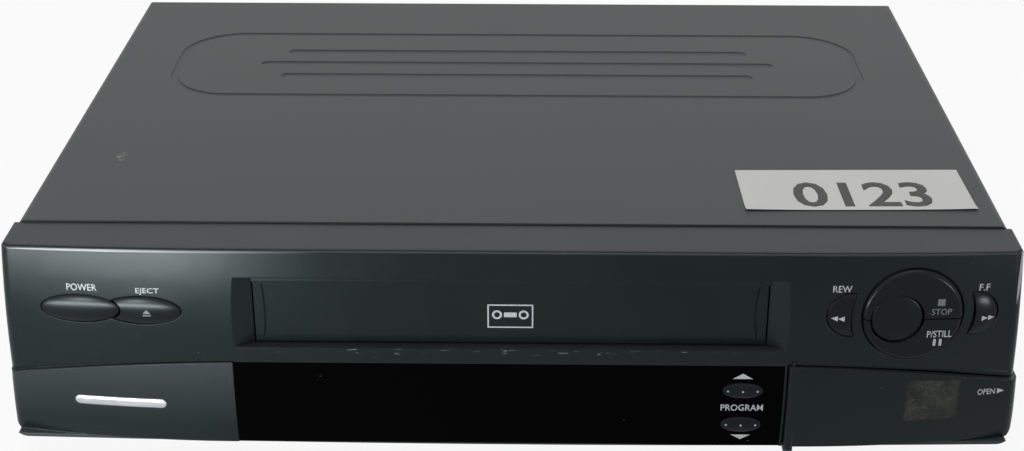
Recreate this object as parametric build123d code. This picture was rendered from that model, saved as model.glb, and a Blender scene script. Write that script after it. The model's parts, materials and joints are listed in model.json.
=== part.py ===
from build123d import *
import math
import os

# Video cassette recorder, free standing, in millimetres.
# X runs to the right seen from the front, Y runs to the back and Z runs up.
# The origin is the middle of the footprint, on the surface under the feet.

os.makedirs("parts", exist_ok=True)

# ------------------------------------------------------------------ case
HEIGHT = 94.0                 # feet to the top of the cover
BODY_DEPTH = 274.1            # top front edge of the fascia to the back edge of the cover
COVER_WIDTH = 374.4
COVER_SHEET = 0.8
COVER_BEND = 3.0              # outer radius of the folded edges
COVER_HEM = 11.0              # lower edge of the cover's sides
COVER_REAR_LIP = 6.0          # fold down along the back edge
FRONT_Y = -BODY_DEPTH / 2
REAR_Y = BODY_DEPTH / 2
COVER_HALF = COVER_WIDTH / 2
SLIP = 0.3                    # gap between pieces that lie side by side
FIT = 0.05                    # radial running clearance of shafts and pins
PAST = 1.0                    # how far a cutting shape runs past what it cuts
CLEAR = 20.0                  # in front of every piece of the face

# ------------------------------------------------------------------ fascia
FASCIA_DEPTH = 22.5           # top edge to the joint with the cover
FASCIA_DROP = 0.8             # top of the fascia below the cover
FASCIA_WALL = 2.5
FASCIA_TOP_WIDTH = 377.2
FASCIA_FOOT_WIDTH = 388.4
FLAT_HALF = 105.0             # half of the straight middle stretch
BOW_TOP = 2.5                 # set back of the ends, at the top
BOW_FOOT = 9.2                # and at the foot
EDGE_R = 0.9                  # rounding of the face's top edge
UPPER_CROWN = 1.7             # bulge of the upper face
UPPER_FOOT_OUT = 0.65         # its lowest edge, forward of its top edge
LOWER_CROWN = 1.0             # bulge of the panels under the shadow line
LOWER_TOP_OUT = 1.25          # their top edge, forward of the fascia's top edge
LOWER_FOOT_OUT = 0.55         # and their foot
CORNER = 3.5                  # rounding of the upright corners
SKIRT_CORNER = 6.0            # rounding of the lower corners seen from the front
LIP_TOP = 10.4                # sill under the lower panels
LIP_SHEET = 1.5
LIP_SET_BACK = 1.2
LIP_BOW = 3.2
SEAM_TOP = 47.4               # shadow line between the upper and the lower face
SEAM_DROP = 8.6               # how far its ends fall
SEAM_FLAT = 92.0              # half of its level stretch
SEAM_GAP = 0.8
SEAM_DEPTH = 1.4
CROWN = UPPER_CROWN + UPPER_FOOT_OUT / 2   # foremost line of the upper face
FASCIA_TOP = HEIGHT - FASCIA_DROP
SEAM_LOW = SEAM_TOP - SEAM_DROP
UPPER_FACE = (SEAM_LOW, FASCIA_TOP, UPPER_FOOT_OUT, 0.0, UPPER_CROWN)
LOWER_FACE = (LIP_TOP, SEAM_TOP, LOWER_FOOT_OUT, LOWER_TOP_OUT, LOWER_CROWN)
FASCIA_BACK = FRONT_Y + FASCIA_DEPTH
LIP_FOOT = LIP_TOP - LIP_SHEET

# ------------------------------------------------------------------ cassette bay
CASSETTE = (188.0, 104.0, 25.0)
FLAP_WIDTH = 192.0
FLAP_SHEET = 2.2
FLAP_TOP = 80.9
FLAP_FOOT = 53.3
FLAP_RECESS = 4.9             # front of the flap behind the face
FLAP_GAP = 0.5
BEVEL_SIDE = 7.6
BEVEL_TOP = 1.6
BEVEL_FOOT = 0.6
BEVEL_MOUTH = 0.6             # flare drawn on, in front of the face,
BEVEL_MOUTH_SIDE = BEVEL_SIDE * 1.1   # where it is this wide
FLAP_PIN_R = 1.2
FLAP_PIN_LONG = 3.0
FLAP_PIN_END = 0.4            # end clearance of a pin in its bore
FLAP_BARREL_LONG = 8.0
FLAP_EDGE_R = 0.8
FLAP_END = 5.0                # full thickness kept at the ends,
FLAP_HEEL = 3.0               # along the foot
FLAP_HEAD = 4.0               # and under the hinge
FLAP_THINNED = 0.8
SURROUND_SIDE = 6.0           # thick frame round the recess: beside it,
SURROUND_OVER = 5.5           # over it,
SURROUND_UNDER = 4.0          # under it
SURROUND_BACK = 2.4           # and behind the flap's pins
GROOVE_IN = 3.4               # bowed groove near each end of the flap
GROOVE_BOW = 1.3
GROOVE_WIDE = 0.9
GROOVE_DEEP = 0.4
GROOVE_FOOT = 2.4             # from the flap's foot
GROOVE_HEAD = 3.0             # and from its top
FLAP_SPRING_PIN = 10.0        # longer left pin, through the spring
SPRING_R = 1.9                # middle of the wire
SPRING_WIRE_R = 0.35
SPRING_COILS = 4
SPRING_LONG = 3.6
SPRING_LEG = 7.0
SPRING_X = -FLAP_WIDTH / 2 - 9.0
FLAP_Y = FRONT_Y - CROWN + FLAP_RECESS
FLAP_AXIS_Z = FLAP_TOP - 1.6
FLAP_AXIS_Y = FLAP_Y + FLAP_SHEET / 2

# ------------------------------------------------------------------ window and door
WINDOW_LEFT = -105.0
WINDOW_RIGHT = 103.6
WINDOW_SHEET = 2.4
WINDOW_LEDGE = 3.0
WINDOW_GLUE = 0.4             # behind the window in its seat
WINDOW_SUNK = 0.3             # its face behind the panel beside it
WINDOW_RIM_DEEP = 1.2         # rim behind the wall and the window together
DOOR_LEFT = 105.0
DOOR_SHEET = 2.3
DOOR_PROUD = 1.1
DOOR_GAP = 0.5
DOOR_WRAP = 12.0              # depth of the door's right-hand return
DOOR_KNUCKLE_R = 1.9
DOOR_PIN_R = 0.9
DOOR_PIN_LONG = 1.3
DOOR_PIN_END = 0.3
BAY_DEPTH = 10.0              # floor of the bay behind the door, from the face
BAY_WALL = 2.0
BAY_RIM = 0.5                 # its rim behind the face
BAY_FLOOR_GAP = 1.0           # floor's front behind the door's sheet
DOOR_AXIS_X = DOOR_LEFT + DOOR_KNUCKLE_R
DOOR_AXIS_Y = FRONT_Y - CROWN - DOOR_PROUD + DOOR_KNUCKLE_R + 0.25

# ------------------------------------------------------------------ buttons
KEY_GAP = 0.35                # between a button and its opening
KEY_TRAVEL = 1.0
KEY_STEM_R = 1.8
OVAL_LONG = 29.4
OVAL_HIGH = 11.3
POWER_X = -160.8
EJECT_X = -137.4
OVAL_Z = 68.6
OVAL_TILT = -3.4              # turn about Z that follows the bow
RING_X = 149.3
RING_Z = 68.9
RING_R = 18.8
RING_PROUD = 1.5              # middle of the ring, out of the face
RING_ROLL = ((2.2, -1.2), (0.6, -0.7), (0.0, 0.6))   # rolled edge: in from the rim, and Y
PLAY_R = 9.8
PLAY_PROUD = 1.3
PLAY_SWELL = (0.55, -1.15)    # share of the radius, and Y, on the slow dome
PLAY_ROLL = ((1.2, -0.8), (0.3, -0.5), (0.0, 0.3))
PLAY_SHIFT = (-5.9, -1.1)
RING_TILT = 3.3
RING_SPLIT = 0.5
RING_SPLIT_DROP = 0.2         # split under the play key's middle
CRESCENT_R = 8.9
CRESCENT_HOLLOW_R = 23.3
REWIND_X = 126.4
REWIND_TILT = 1.4
FORWARD_X = 172.2
FORWARD_TILT = 5.1
PROGRAM_X = 88.2
PROGRAM_UP_Z = 35.9
PROGRAM_DOWN_Z = 20.7
PROGRAM_LONG = 15.4
PROGRAM_HIGH = 6.6
RECORD_X = 124.0
RECORD_Z = 29.0
RECORD_R = 4.5
RECORD_PROUD = 1.5
RECORD_DEEP = 3.0
RECORD_EDGE = 0.5
JACK_X = (142.0, 157.0, 172.0)
JACK_Z = 27.0
JACK_R = 4.6
JACK_BORE_R = 1.6
JACK_PROUD = 3.0
JACK_BOARD = (8.0, 10.0)      # board beyond the outer sockets, and above and below them
CAP_DEPTH = 5.0
OVAL_OFF = (EJECT_X - POWER_X) / 2
OVAL_OVERLAP = 1.0            # gap round the power key where it covers the eject key
OVAL_DOME = (2.6, 1.0)        # height of the dome, and how far it stands out of the face
CRESCENT_DOME = (3.0, 1.2)
PROGRAM_DOME = (1.4, 0.7)
DOME_SPREAD = 1.15            # dome's width against the key's
STOP_STEM = (8.0, 11.5)
PAUSE_STEM = (8.0, -11.5)
REWIND_STEM = (-4.5, 0.0)
FORWARD_STEM = (4.5, 0.0)
BOARD = 1.6
KEY_BOARD_Y = FRONT_Y + 16.0
SWITCH_HIGH = 3.5
SWITCH_SIDE = 6.0
SWITCH_NUB_R = 1.6
SWITCH_NUB = 1.0              # nub out of the switch's body
KEY_BOARD_SIDE = 8.0          # board inside the fascia's end wall
OVAL_BOARD = (17.0, 19.0)     # board under and over the ovals' middle
RING_BOARD = (19.0, 20.0)     # and the ring's
DISPLAY_BOARD_SIDE = 3.0
DISPLAY_BOARD_FOOT = 2.0
DISPLAY_BOARD_HEAD = 1.5
TUBE_LEFT = WINDOW_LEFT + 43.0
TUBE_RIGHT = WINDOW_RIGHT - 51.6
TUBE_DEEP = 6.0
TUBE_BACK = 1.0               # gap to its board
TUBE_FOOT = LIP_TOP + 7.6
TUBE_HEAD = SEAM_TOP - 5.4
TUBE_EDGE = 1.5
TUBE_TIP_R = 1.5
TUBE_TIP_LONG = 4.0
SOCKET_BOARD_Y = FASCIA_BACK - 3.0
STEM_GAP = 1.25               # stem to the switch at rest, more than the travel

# ------------------------------------------------------------------ chassis
FOOT_HIGH = 5.2
FOOT_R = 10.0
FOOT_EDGE = 1.0
FOOT_HOLLOW_R = 4.5
FOOT_HOLLOW = 1.2
FOOT_X = 150.0
FOOT_FRONT_Y = -98.0
FOOT_REAR_Y = 112.0
FRAME_WALL = 2.0
FRAME_SET_BACK = 10.0         # skirt behind the fascia's top edge
FRAME_TOP = 30.0
FRAME_CORNER = 4.0
DECK_POST_R = 3.6
DECK_POST_BORE = 10.0
SCREW_BOSS_R = 4.0
SCREW_BOSS_LONG = 4.0
SCREW_BOSS_BORE = 3.0
BACK_GATE = 3.0               # sill left under the openings in the tub's back
FRONT_GATE = 6.0              # and in its front
BASE_SHEET = 0.8
REAR_SHEET = 1.0
REAR_RECESS = 5.0
REAR_FACE = REAR_Y - REAR_RECESS
PLUG_TIP = -FRONT_Y + CROWN + DOOR_PROUD   # aerial connectors end as far back as the door is forward
MAIN_BOARD_Z = 13.0
SCREW_R = 3.0
SCREW_HIGH = 1.6
SCREW_SHANK_R = 1.5
SCREW_SHANK = 3.4
SCREW_HOLE_R = 1.8

# ------------------------------------------------------------------ cover pressings and vents
BEAD_LONG = COVER_WIDTH - 63.4   # stadium bead pressed into the cover's top
BEAD_HIGH = 77.0
BEAD_Y = 50.5
BEAD_CORNER = 26.0
BEAD_TOP_WIDE = 3.6
BEAD_DEEP = 0.5
BEAD_RELIEF = 1.2             # extra width of a pressing on the sheet's underside
BEAD_TAPER = 35.0
RIB_LONG = (BEAD_LONG - 97.0, BEAD_LONG - 75.0, BEAD_LONG - 97.0)
RIB_PITCH = 15.0
RIB_WIDE = 6.0
VENT_WIDE = 2.4
VENT_LONG = 24.0
VENT_PITCH = 6.0
VENT_COUNT = 12
VENT_BACK = 118.0
BASE_VENT_PITCH = 11.0
BASE_CORNER = 2.0
SIDE_VENTS = (-44.0, 9)       # first slot's y and how many
DECK_VENTS = (44.0, 4)
REAR_VENT_X = -166.0          # first of the upright slots in the rear panel
REAR_VENT_Z = 66.0
REAR_VENT_LONG = 26.0
REAR_VENT_PITCH = 6.0
REAR_VENT_COUNT = 12
COVER_SCREW_Z = 20.0
COVER_SCREW_Y = (-70.0, 96.0)

# ------------------------------------------------------------------ tape deck
DECK_TOP = 31.0
DECK_SHEET = 1.2
DECK_HALF = 108.0
DECK_FRONT = -108.0
DECK_REAR = 108.0
DECK_FLANGE = 6.0
DECK_FLANGE_IN = 14.0         # flanges stop short of the deck's corners
# x, y, length and width of the lightening windows
DECK_WINDOWS = ((0.0, -78.0, 120.0, 30.0), (-62.0, 88.0, 40.0, 20.0), (66.0, 90.0, 40.0, 16.0))
DECK_WINDOW_CORNER = 4.0
DECK_SCREWS = ((-90.0, -102.0), (90.0, -102.0), (-102.0, 103.0), (102.0, 103.0))
DECK_SCREW_R = 1.3
DECK_SCREW_HEAD = (2.8, 2.0)  # radius and height
DECK_SCREW_LONG = 8.0
PIVOT_R = 2.0                 # fixed posts that arms turn on
PIN_R = 1.5                   # pins that rollers turn on
HOLDER_SHEET = 1.0
HOLDER_SIDE_GAP = 1.2
HOLDER_FRONT = -68.0
HOLDER_DEPTH = 102.0
HOLDER_FLOOR = 53.0           # top of the holder's floor, level with the slot
HOLDER_ROOM = 25.4
HOLDER_LEDGE = 25.0
HOLDER_LEDGE_LONG = 60.0      # ends in front of the tension arm's pivot
HOLDER_BAR = 8.0
HOLDER_ROOF_END = 62.0
HOLDER_WINDOW = (120.0, 34.0, 6.0)   # opening in the roof: length, width and corners
HOLDER_TRAVEL = 50.0
HOLDER_DROP = 20.0
LIFT_PIN_R = 1.5
LIFT_PIN_Z = 58.0
LIFT_PIN_Y = (-58.0, 24.0)
LIFT_PIN_END = 0.8            # pins beyond the sliders
LIFT_TOP = 86.0
BRACKET_SHEET = 1.2
BRACKET_GAP = 2.2
BRACKET_FRONT_GAP = 6.0       # bracket's front edge behind the tray's foremost place
BRACKET_WINDOW = (-34.0, 73.0, 70.0, 12.0)   # y, z, length and height
BRACKET_RAIL = (4.0, 2.0)     # upper rail short of the front and of the back
BRACKET_LEDGE = 0.6           # rails beyond the slider
SLIDER_SHEET = 1.2
SLIDER_GAP = 1.0
SLIDER_RUN = 0.2              # slider to each rail
SLIDER_HEAD = 5.2             # over the pins' middle
SLIDER_END = 6.0              # beyond them
SLIDER_WINDOW = (56.0, 14.0)
PLATE_CORNER = 4.0            # openings in the lift's plates
TOP_PLATE_Y = (-58.0, -22.0)
TOP_PLATE_WINDOW = (140.0, 16.0)
REEL_SPREAD = 92.5
REEL_Y = -25.0
REEL_R = 22.0
REEL_POST_R = 1.5
REEL_POST = 13.0
REEL_SEAT_R = 5.0
REEL_SEAT = 1.0
REEL_LIFT = 1.3               # underside above the deck
REEL_RIM_HIGH = 3.2
REEL_RIM = 2.0
REEL_FLOOR = 1.4
REEL_BOSS_R = 9.0
REEL_HUB_R = 4.4
REEL_HUB_HIGH = 11.0
REEL_HUB_EDGE = 1.2
REEL_SPLINE = (3.4, 5.6, 0.7)        # inner and outer radius, and half its width
REEL_SPLINE_Z = (3.0, 8.5)
REEL_SPLINES = 3
DRUM_R = 31.0
DRUM_Y = 72.0
DRUM_TILT = 5.0
DRUM_BASE_Z = 35.0
DRUM_SHAFT_R = 3.0
DRUM_SPLIT = 0.4
DRUM_HOLE_R = 17.0
LOWER_DRUM_HIGH = 15.0
LOWER_DRUM_STEP = (6.75, 0.5)        # height of the tape's ledge and how far it stands out
LOWER_DRUM_WALL = 3.0
LOWER_DRUM_POCKET = 6.0
LOWER_DRUM_HUB_R = 8.0
DRUM_BASE = (28.0, 20.0, 22.0)       # half length, and its front and back from the drum's middle
DRUM_BASE_GAP = 2.6
DRUM_FOOT_R = 20.0
DRUM_FOOT_BORE_R = 6.0
UPPER_DRUM_HIGH = 15.0
UPPER_DRUM_EDGE = 0.8
UPPER_DRUM_RIM = 6.0
UPPER_DRUM_SUNK = 2.0
UPPER_DRUM_HUB_R = 9.0
UPPER_DRUM_HOLES = (6, 18.0, 3.0)    # count, pitch radius and radius
HEAD_WINDOW = (3.0, 3.0, 2.0)        # depth, half width and height
HEAD_TIP = (4.0, 0.6, 1.5)
HEAD_PROUD = 0.02
CAPSTAN = (73.0, 22.0)
CAPSTAN_R = 2.0
CAPSTAN_HIGH = 25.0
CAPSTAN_FOOT = 1.5            # shaft out of the flywheel's underside
CAPSTAN_HOLE_R = 6.0
CAPSTAN_TUBE_R = 5.0
CAPSTAN_TUBE = 8.0
CAPSTAN_COLLAR = (8.5, 1.4)
STATOR_HIGH = 2.6
STATOR_IN = 3.0
FLYWHEEL_R = 34.0
FLYWHEEL_HIGH = 6.5
FLYWHEEL_DROP = 3.0           # its top under the deck
FLYWHEEL_EDGE = 1.0
FLYWHEEL_RIM = 5.0
FLYWHEEL_DISH = 2.5
FLYWHEEL_HUB_R = 7.0
PINCH_PIVOT = (92.0, 44.0)
PINCH_REST = (71.2, 43.3)
PINCH_R = 6.5
PINCH_POST = 16.0
PINCH_LIFT = 8.0
PINCH_BOSS = (5.0, 7.0)
PINCH_ARM = (8.0, 1.6)
PINCH_PIN = 17.0
ROLLER_LIFT = 2.0             # roller above its arm
ROLLER_HIGH = 13.0
ROLLER_EDGE = 0.5
GUIDE_START = (20.0, 20.0)
GUIDE_END = (40.0, 59.0)
GUIDE_SLOT = 6.4
GUIDE_NECK_R = 3.0
GUIDE_SHOE = (6.0, 3.0)
GUIDE_KEEPER = (5.0, 3.2)
GUIDE_RUN = 0.3               # shoe above the deck
GUIDE_KEEPER_RUN = 0.4
GUIDE_PIN = (1.2, 30.0)
GUIDE_ROLLER_R = 2.8
GUIDE_FLANGE_R = 3.8
GUIDE_ROLLER_Z = (5.0, 7.0, 26.0, 28.0)   # lower flange, roller and upper flange
CAM_CENTRE = (-77.0, 60.0)
CAM_R = 14.0
CAM_TEETH = 28
CAM_TOOTH = 1.6
CAM_TOOTH_ROOT = 0.27         # share of the pitch on each side of a tooth's middle, at its root
CAM_TOOTH_TIP = 0.13          # and at its tip
CAM_RIM = 2.0
CAM_FLOOR = 1.5
CAM_HUB_R = 4.0
CAM_HUB = 5.0
CAM_HUB_RUN = 0.6
CAM_POST = 8.0
TENSION_PIVOT = (-86.0, 0.0)
TENSION_PIN = (-66.0, 18.0)
TENSION_POST = 4.5
TENSION_RUN = 0.5
TENSION_BOSS = (4.0, 4.0)
TENSION_ARM = (6.0, 1.4)
TENSION_PIN_HIGH = 25.0
IDLER_REACH = (27.0, 15.0)    # pivot in front of the reels' line, and wheel behind it
IDLER_PIVOT = (0.0, REEL_Y - IDLER_REACH[0])
IDLER_CENTRE = (0.0, REEL_Y + IDLER_REACH[1])
IDLER_R = 13.0
IDLER_POST = 6.0
IDLER_RUN = 0.4
IDLER_BOSS = (4.5, 5.0)
IDLER_ARM = (9.0, 1.4)
IDLER_PIN = 6.0
IDLER_WHEEL_RUN = 0.3
IDLER_WHEEL_HIGH = 2.6
IDLER_DISH = 1.4
IDLER_RIM = 3.0
IDLER_HUB_R = 4.0
AUDIO_HEAD = (59.0, 57.0)
AUDIO_HEAD_HALF = 5.0
AUDIO_HEAD_HIGH = 24.0
AUDIO_PLATE = (8.0, 6.0, 8.0, 3.0)   # half length, front, back and height
ERASE_HEAD = (-60.0, 40.0)
ERASE_HEAD_HALF = 4.0
ERASE_HEAD_HIGH = 22.0
HEAD_CORNER = 2.0
WORM_R = 3.2
WORM_LIFT = 4.8               # worm's centre above the deck
WORM_RUN = 0.3                # worm to the gear's tips
WORM_LONG = 22.0
WORM_BEFORE = 11.0            # worm's front end before the gear's middle
WORM_SHAFT_R = 1.2
WORM_SHAFT = 18.0             # end of its shaft behind the gear's middle
CAM_FACE = 4.0
MOTOR_R = 8.5
MOTOR_LONG = 22.0
MOTOR_BACK = 14.0             # motor behind the gear's middle
MOTOR_LIFT = 9.0
MOTOR_FLAT = 1.5              # flat underside above the deck
MOTOR_BRACKET = (6.0, 8.0, 2.0, 3.0)   # left, right, in from the ends and height
MOTOR_BORE = 6.0
WORM_X = CAM_CENTRE[0] - CAM_R - WORM_R - WORM_RUN
HOLDER_IN = CASSETTE[0] / 2 + HOLDER_SIDE_GAP
HOLDER_OUT = HOLDER_IN + HOLDER_SHEET
BRACKET_IN = HOLDER_OUT + BRACKET_GAP
BRACKET_OUT = BRACKET_IN + BRACKET_SHEET
SLIDER_IN = BRACKET_OUT + SLIDER_GAP
SLIDER_OUT = SLIDER_IN + SLIDER_SHEET

# ------------------------------------------------------------------ side bays and rear sockets
BAY_IN = DECK_HALF + 4.0      # side bays between the deck and the frame's walls
BAY_OUT = COVER_HALF - COVER_SHEET - SLIP - FRAME_WALL
BAY_WINDOWS_Y = ((-92.0, -48.0), (-38.0, 26.0), (36.0, 100.0))   # openings in the frame's floor
FLOOR_SPINE = 6.0             # half of the rib down the middle of the floor
DECK_WINDOW_IN = 10.0         # floor's windows short of the deck's edge
BAY_WINDOW_IN = BAY_IN + 6.0
BAY_WINDOW_OUT = BAY_OUT - 14.1
BOSS_X = (BAY_IN + 3.0, BAY_OUT - 8.0)
BOSS_Y = (-96.0, 0.0, 112.0)
BOSS_R = 2.6
BOARD_SIDE = 1.0              # main board inside the frame's walls,
BOARD_FRONT = 8.0             # behind its front wall
BOARD_BACK = 5.0              # and in front of the rear panel
BOARD_DECK = 3.0              # and behind the deck
TUNER_X = (BAY_OUT - 56.1, BAY_OUT - 20.1)
TUNER_Z = (18.0, 60.0)
TUNER_LONG = 72.0
AERIAL_X = (TUNER_X[0] + TUNER_X[1]) / 2
AERIAL_Z = (28.0, 50.0)
AERIAL_R = 4.75
AERIAL_HOLE = 1.2             # clearance of the panel's holes
AERIAL_WALL = 0.9
AERIAL_PIN_R = 1.2
AERIAL_SOCKET_R = 1.3
TUNER_EDGE = 1.0
TUNER_DENT = (0.5, 6.0, 12.0, 5)     # depth, width, pitch and count of the pressed dents
TUNER_DENT_IN = 8.0
PHONO_X = 96.0
PHONO_Z = (28.0, 44.0)
PHONO_R = 4.15
PHONO_HOLE = 1.4
PHONO_PROUD = 7.5
PHONO_BORE_R = 1.6
PHONO_SIDE = 7.0
PHONO_OVER = 8.0
SCART_X = (52.0, -6.0)
SCART_Z = 36.0
SCART_LONG = 47.0
SCART_HIGH = 15.0
SCART_SHELL = 1.0
SCART_BODY = 2.2              # body round the shell
SCART_CUT = (4.0, 3.0)        # cut corner of the shell
SCART_PROUD = 3.6
SCART_CORE_PROUD = 2.4
SCART_CORE = (9.0, 8.0)       # core smaller than the shell
SCART_CORE_DROP = 0.5
SCART_CONTACTS = 10
SCART_PITCH = 3.8
SCART_CONTACT = (1.0, 2.0)
SOCKET_GAP = 4.75             # sockets' bodies behind the deck
PANEL_BACK = REAR_FACE - REAR_SHEET - SLIP
SCART_DEEP = PANEL_BACK - DECK_REAR - SOCKET_GAP
PHONO_DEEP = SCART_DEEP * 2 / 3
# side, share of the bay's width, y, radius and height of each capacitor
CAPACITORS = (
    (-1, 0.67, 40.0, 11.0, 36.0), (-1, 0.29, 36.0, 8.0, 26.0), (-1, 0.28, 58.0, 6.0, 20.0),
    (-1, 0.80, 64.0, 5.0, 16.0), (-1, 0.17, -60.0, 5.0, 14.0), (-1, 0.39, -70.0, 4.0, 12.0),
    (1, 0.19, -60.0, 4.0, 12.0), (1, 0.36, -50.0, 4.0, 12.0), (1, 0.53, -62.0, 5.0, 14.0),
    (1, 0.17, 4.0, 5.0, 16.0),
)
# side, share of the bay's width, y, width and length of each chip
CHIPS = (
    (1, 0.58, -20.0, 26.0, 26.0), (1, 0.61, 24.0, 14.0, 38.0), (1, 0.22, -28.0, 10.0, 30.0),
    (-1, 0.56, -36.0, 12.0, 34.0), (-1, 0.22, -36.0, 10.0, 26.0),
)
CAPACITOR_EDGE = 0.6
CHIP_HIGH = 4.0
TRANSFORMER_SHARE = 0.62
TRANSFORMER_Y = 4.0
TRANSFORMER_BASE = (15.0, 13.0, 8.5)   # half length, half width and height
FERRITE = (17.0, 6.0, 2.0, 32.0)       # half length, half width, foot and top
FERRITE_LEG = 6.0
WINDING = (10.5, 11.0, 17.0)           # half length, half width and height
WINDING_R = 4.0
SINK_SHARE = 0.14
SINK_Y = (-12.0, 20.0)
SINK_HIGH = 40.0
SINK_SHEET = 2.0
SINK_FINS = 5
SINK_FIN = (7.0, 1.4, 3.0)    # length, thickness and foot
SINK_FIN_PITCH = 7.0
SINK_FIN_START = 1.0
RIBBON_X = (BAY_IN + 2.0, BAY_IN + 22.0)
RIBBON_SHEET = 0.6
RIBBON_Z = (46.0, 56.0)
RIBBON_BACK = FASCIA_BACK + 17.0
INLET_X = -(BAY_OUT - 34.1)
INLET_Z = 30.0
INLET_LONG = 18.0
INLET_HIGH = 11.0
INLET_BODY = 1.8              # body round the shell
INLET_WALL = 1.6
INLET_DEEP = 16.0
INLET_CUP = 13.0
INLET_PROUD = 1.2
INLET_PIN = (4.3, 1.2)        # from the middle, and radius
INLET_PIN_Y = (14.0, 3.0)     # from the panel's back


# ================================================================== helpers
def block(x0, x1, y0, y1, z0, z1):
    """A box between two opposite corners."""
    return Pos((x0 + x1) / 2, (y0 + y1) / 2, (z0 + z1) / 2) * Box(x1 - x0, y1 - y0, z1 - z0)


def rod_x(y, z, x0, x1, r):
    """A round bar along X."""
    return Pos((x0 + x1) / 2, y, z) * Rot(0, 90, 0) * Cylinder(r, x1 - x0)


def rod_y(x, z, y0, y1, r):
    """A round bar along Y."""
    return Pos(x, (y0 + y1) / 2, z) * Rot(90, 0, 0) * Cylinder(r, y1 - y0)


def rod_z(x, y, z0, z1, r):
    """A round bar along Z."""
    return Pos(x, y, (z0 + z1) / 2) * Cylinder(r, z1 - z0)


def prism_y(outline, y0, y1):
    """An outline drawn in X and Z, carried from y0 to y1."""
    return extrude(Plane.XZ.offset(-y1) * outline, amount=y1 - y0)


def prism_x(outline, x0, x1):
    """An outline drawn in Y and Z, carried from x0 to x1."""
    return extrude(Plane.YZ.offset(x0) * outline, amount=x1 - x0)


def prism_z(outline, z0, z1):
    """An outline drawn in X and Y, carried from z0 to z1."""
    return extrude(Pos(0, 0, z0) * outline, amount=z1 - z0)


def polygon(*points):
    """A flat face with straight sides."""
    return make_face(Polyline(*points, close=True))


def slot_between(a, b, width):
    """A round-ended slot outline from point a to point b."""
    long = math.dist(a, b)
    turn = math.degrees(math.atan2(b[1] - a[1], b[0] - a[0]))
    middle = ((a[0] + b[0]) / 2, (a[1] + b[1]) / 2)
    return Pos(*middle) * Rot(0, 0, turn) * SlotCenterToCenter(long, width)


# ================================================================== shape of the face
def share(z):
    """0 at the foot of the face and 1 at its top."""
    return (z - LIP_TOP) / (FASCIA_TOP - LIP_TOP)


def face_middle(z, zone):
    """Y of a zone's straight middle stretch at height z: a shallow arc that bulges from its chord."""
    low, high, low_out, high_out, crown = zone
    half = (high - low) / 2
    radius = (half ** 2 + crown ** 2) / (2 * crown)
    rise = z - (high + low) / 2
    chord = FRONT_Y - low_out - (high_out - low_out) * (z - low) / (high - low)
    return chord - crown + radius - math.sqrt(radius ** 2 - rise ** 2)


def face_half(z):
    """Half of the face's width at height z."""
    return (FASCIA_FOOT_WIDTH + (FASCIA_TOP_WIDTH - FASCIA_FOOT_WIDTH) * share(z)) / 2


def bow_radius(z):
    """Radius of the face's bowed ends at height z."""
    bow = BOW_FOOT + (BOW_TOP - BOW_FOOT) * share(z)
    reach = face_half(z) - FLAT_HALF
    return (reach ** 2 + bow ** 2) / (2 * bow)


def face_y(x, z, inset=0.0):
    """Y of the face at x and z, or of a surface inset behind it."""
    zone = LOWER_FACE if z < seam_z(x) else UPPER_FACE
    return zone_y(x, z, inset, zone)


def zone_y(x, z, inset, zone):
    """Y of one zone's surface at x and z."""
    out = max(abs(x) - FLAT_HALF, 0)
    radius = bow_radius(z)
    return face_middle(z, zone) + radius - math.sqrt((radius - inset) ** 2 - out ** 2)


def plan_outline(z, inset, back, zone):
    """Outline of the fascia at height z, drawn inset all round and closed at the back."""
    half = face_half(z) - inset
    middle = face_middle(z, zone) + inset
    end = zone_y(half, z, inset, zone)
    halfway = (FLAT_HALF + half) / 2
    bend = zone_y(halfway, z, inset, zone)
    outline = make_face(
        Line((-half, back), (half, back))
        + Line((half, back), (half, end))
        + ThreePointArc((half, end), (halfway, bend), (FLAT_HALF, middle))
        + Line((FLAT_HALF, middle), (-FLAT_HALF, middle))
        + ThreePointArc((-FLAT_HALF, middle), (-halfway, bend), (-half, end))
        + Line((-half, end), (-half, back))
    )
    corners = [v for v in outline.vertices() if abs(v.X) > half - 0.01 and v.Y < end + 0.01]
    outline = fillet(corners, max(CORNER - inset, 0.5))
    return Pos(0, 0, z) * outline


def zone_block(inset, back, zone, low, high):
    """A solid whose front is one zone's surface, inset behind it, and whose back is flat."""
    middle = (low + high) / 2
    return loft([plan_outline(z, inset, back, zone).faces()[0] for z in (low, middle, high)])


def lower_block(inset, back, low=LIP_TOP):
    """The lower zone alone, carried a little above the shadow line."""
    return zone_block(inset, back, LOWER_FACE, low, SEAM_TOP + 3 * PAST)


def under_seam():
    """Everything under the shadow line, right across the front."""
    end = FASCIA_FOOT_WIDTH / 2 + 2 * PAST
    low = LIP_TOP - 5 * PAST
    outline = Pos(0, (SEAM_TOP + low) / 2) * Rectangle(2 * SEAM_FLAT, SEAM_TOP - low)
    outline += below_seam(-end, -SEAM_FLAT, low, 0) + below_seam(SEAM_FLAT, end, low, 0)
    return prism_y(outline, FRONT_Y - CLEAR, FASCIA_BACK + 5 * PAST)


def face_block(inset, back, low=LIP_TOP, high=FASCIA_TOP):
    """A solid whose front follows the whole face, inset behind it, and whose back is flat."""
    under = under_seam()
    upper = zone_block(inset, back, UPPER_FACE, SEAM_LOW - 2 * PAST, high)
    if inset == 0:
        top = upper.edges().group_by(Axis.Z)[-1]
        upper = fillet(top.filter_by(lambda edge: edge.center().Y < back - PAST), EDGE_R)
    lower = zone_block(inset, back, LOWER_FACE, low, SEAM_TOP + PAST)
    return (upper - under) + (lower & under)


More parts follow.
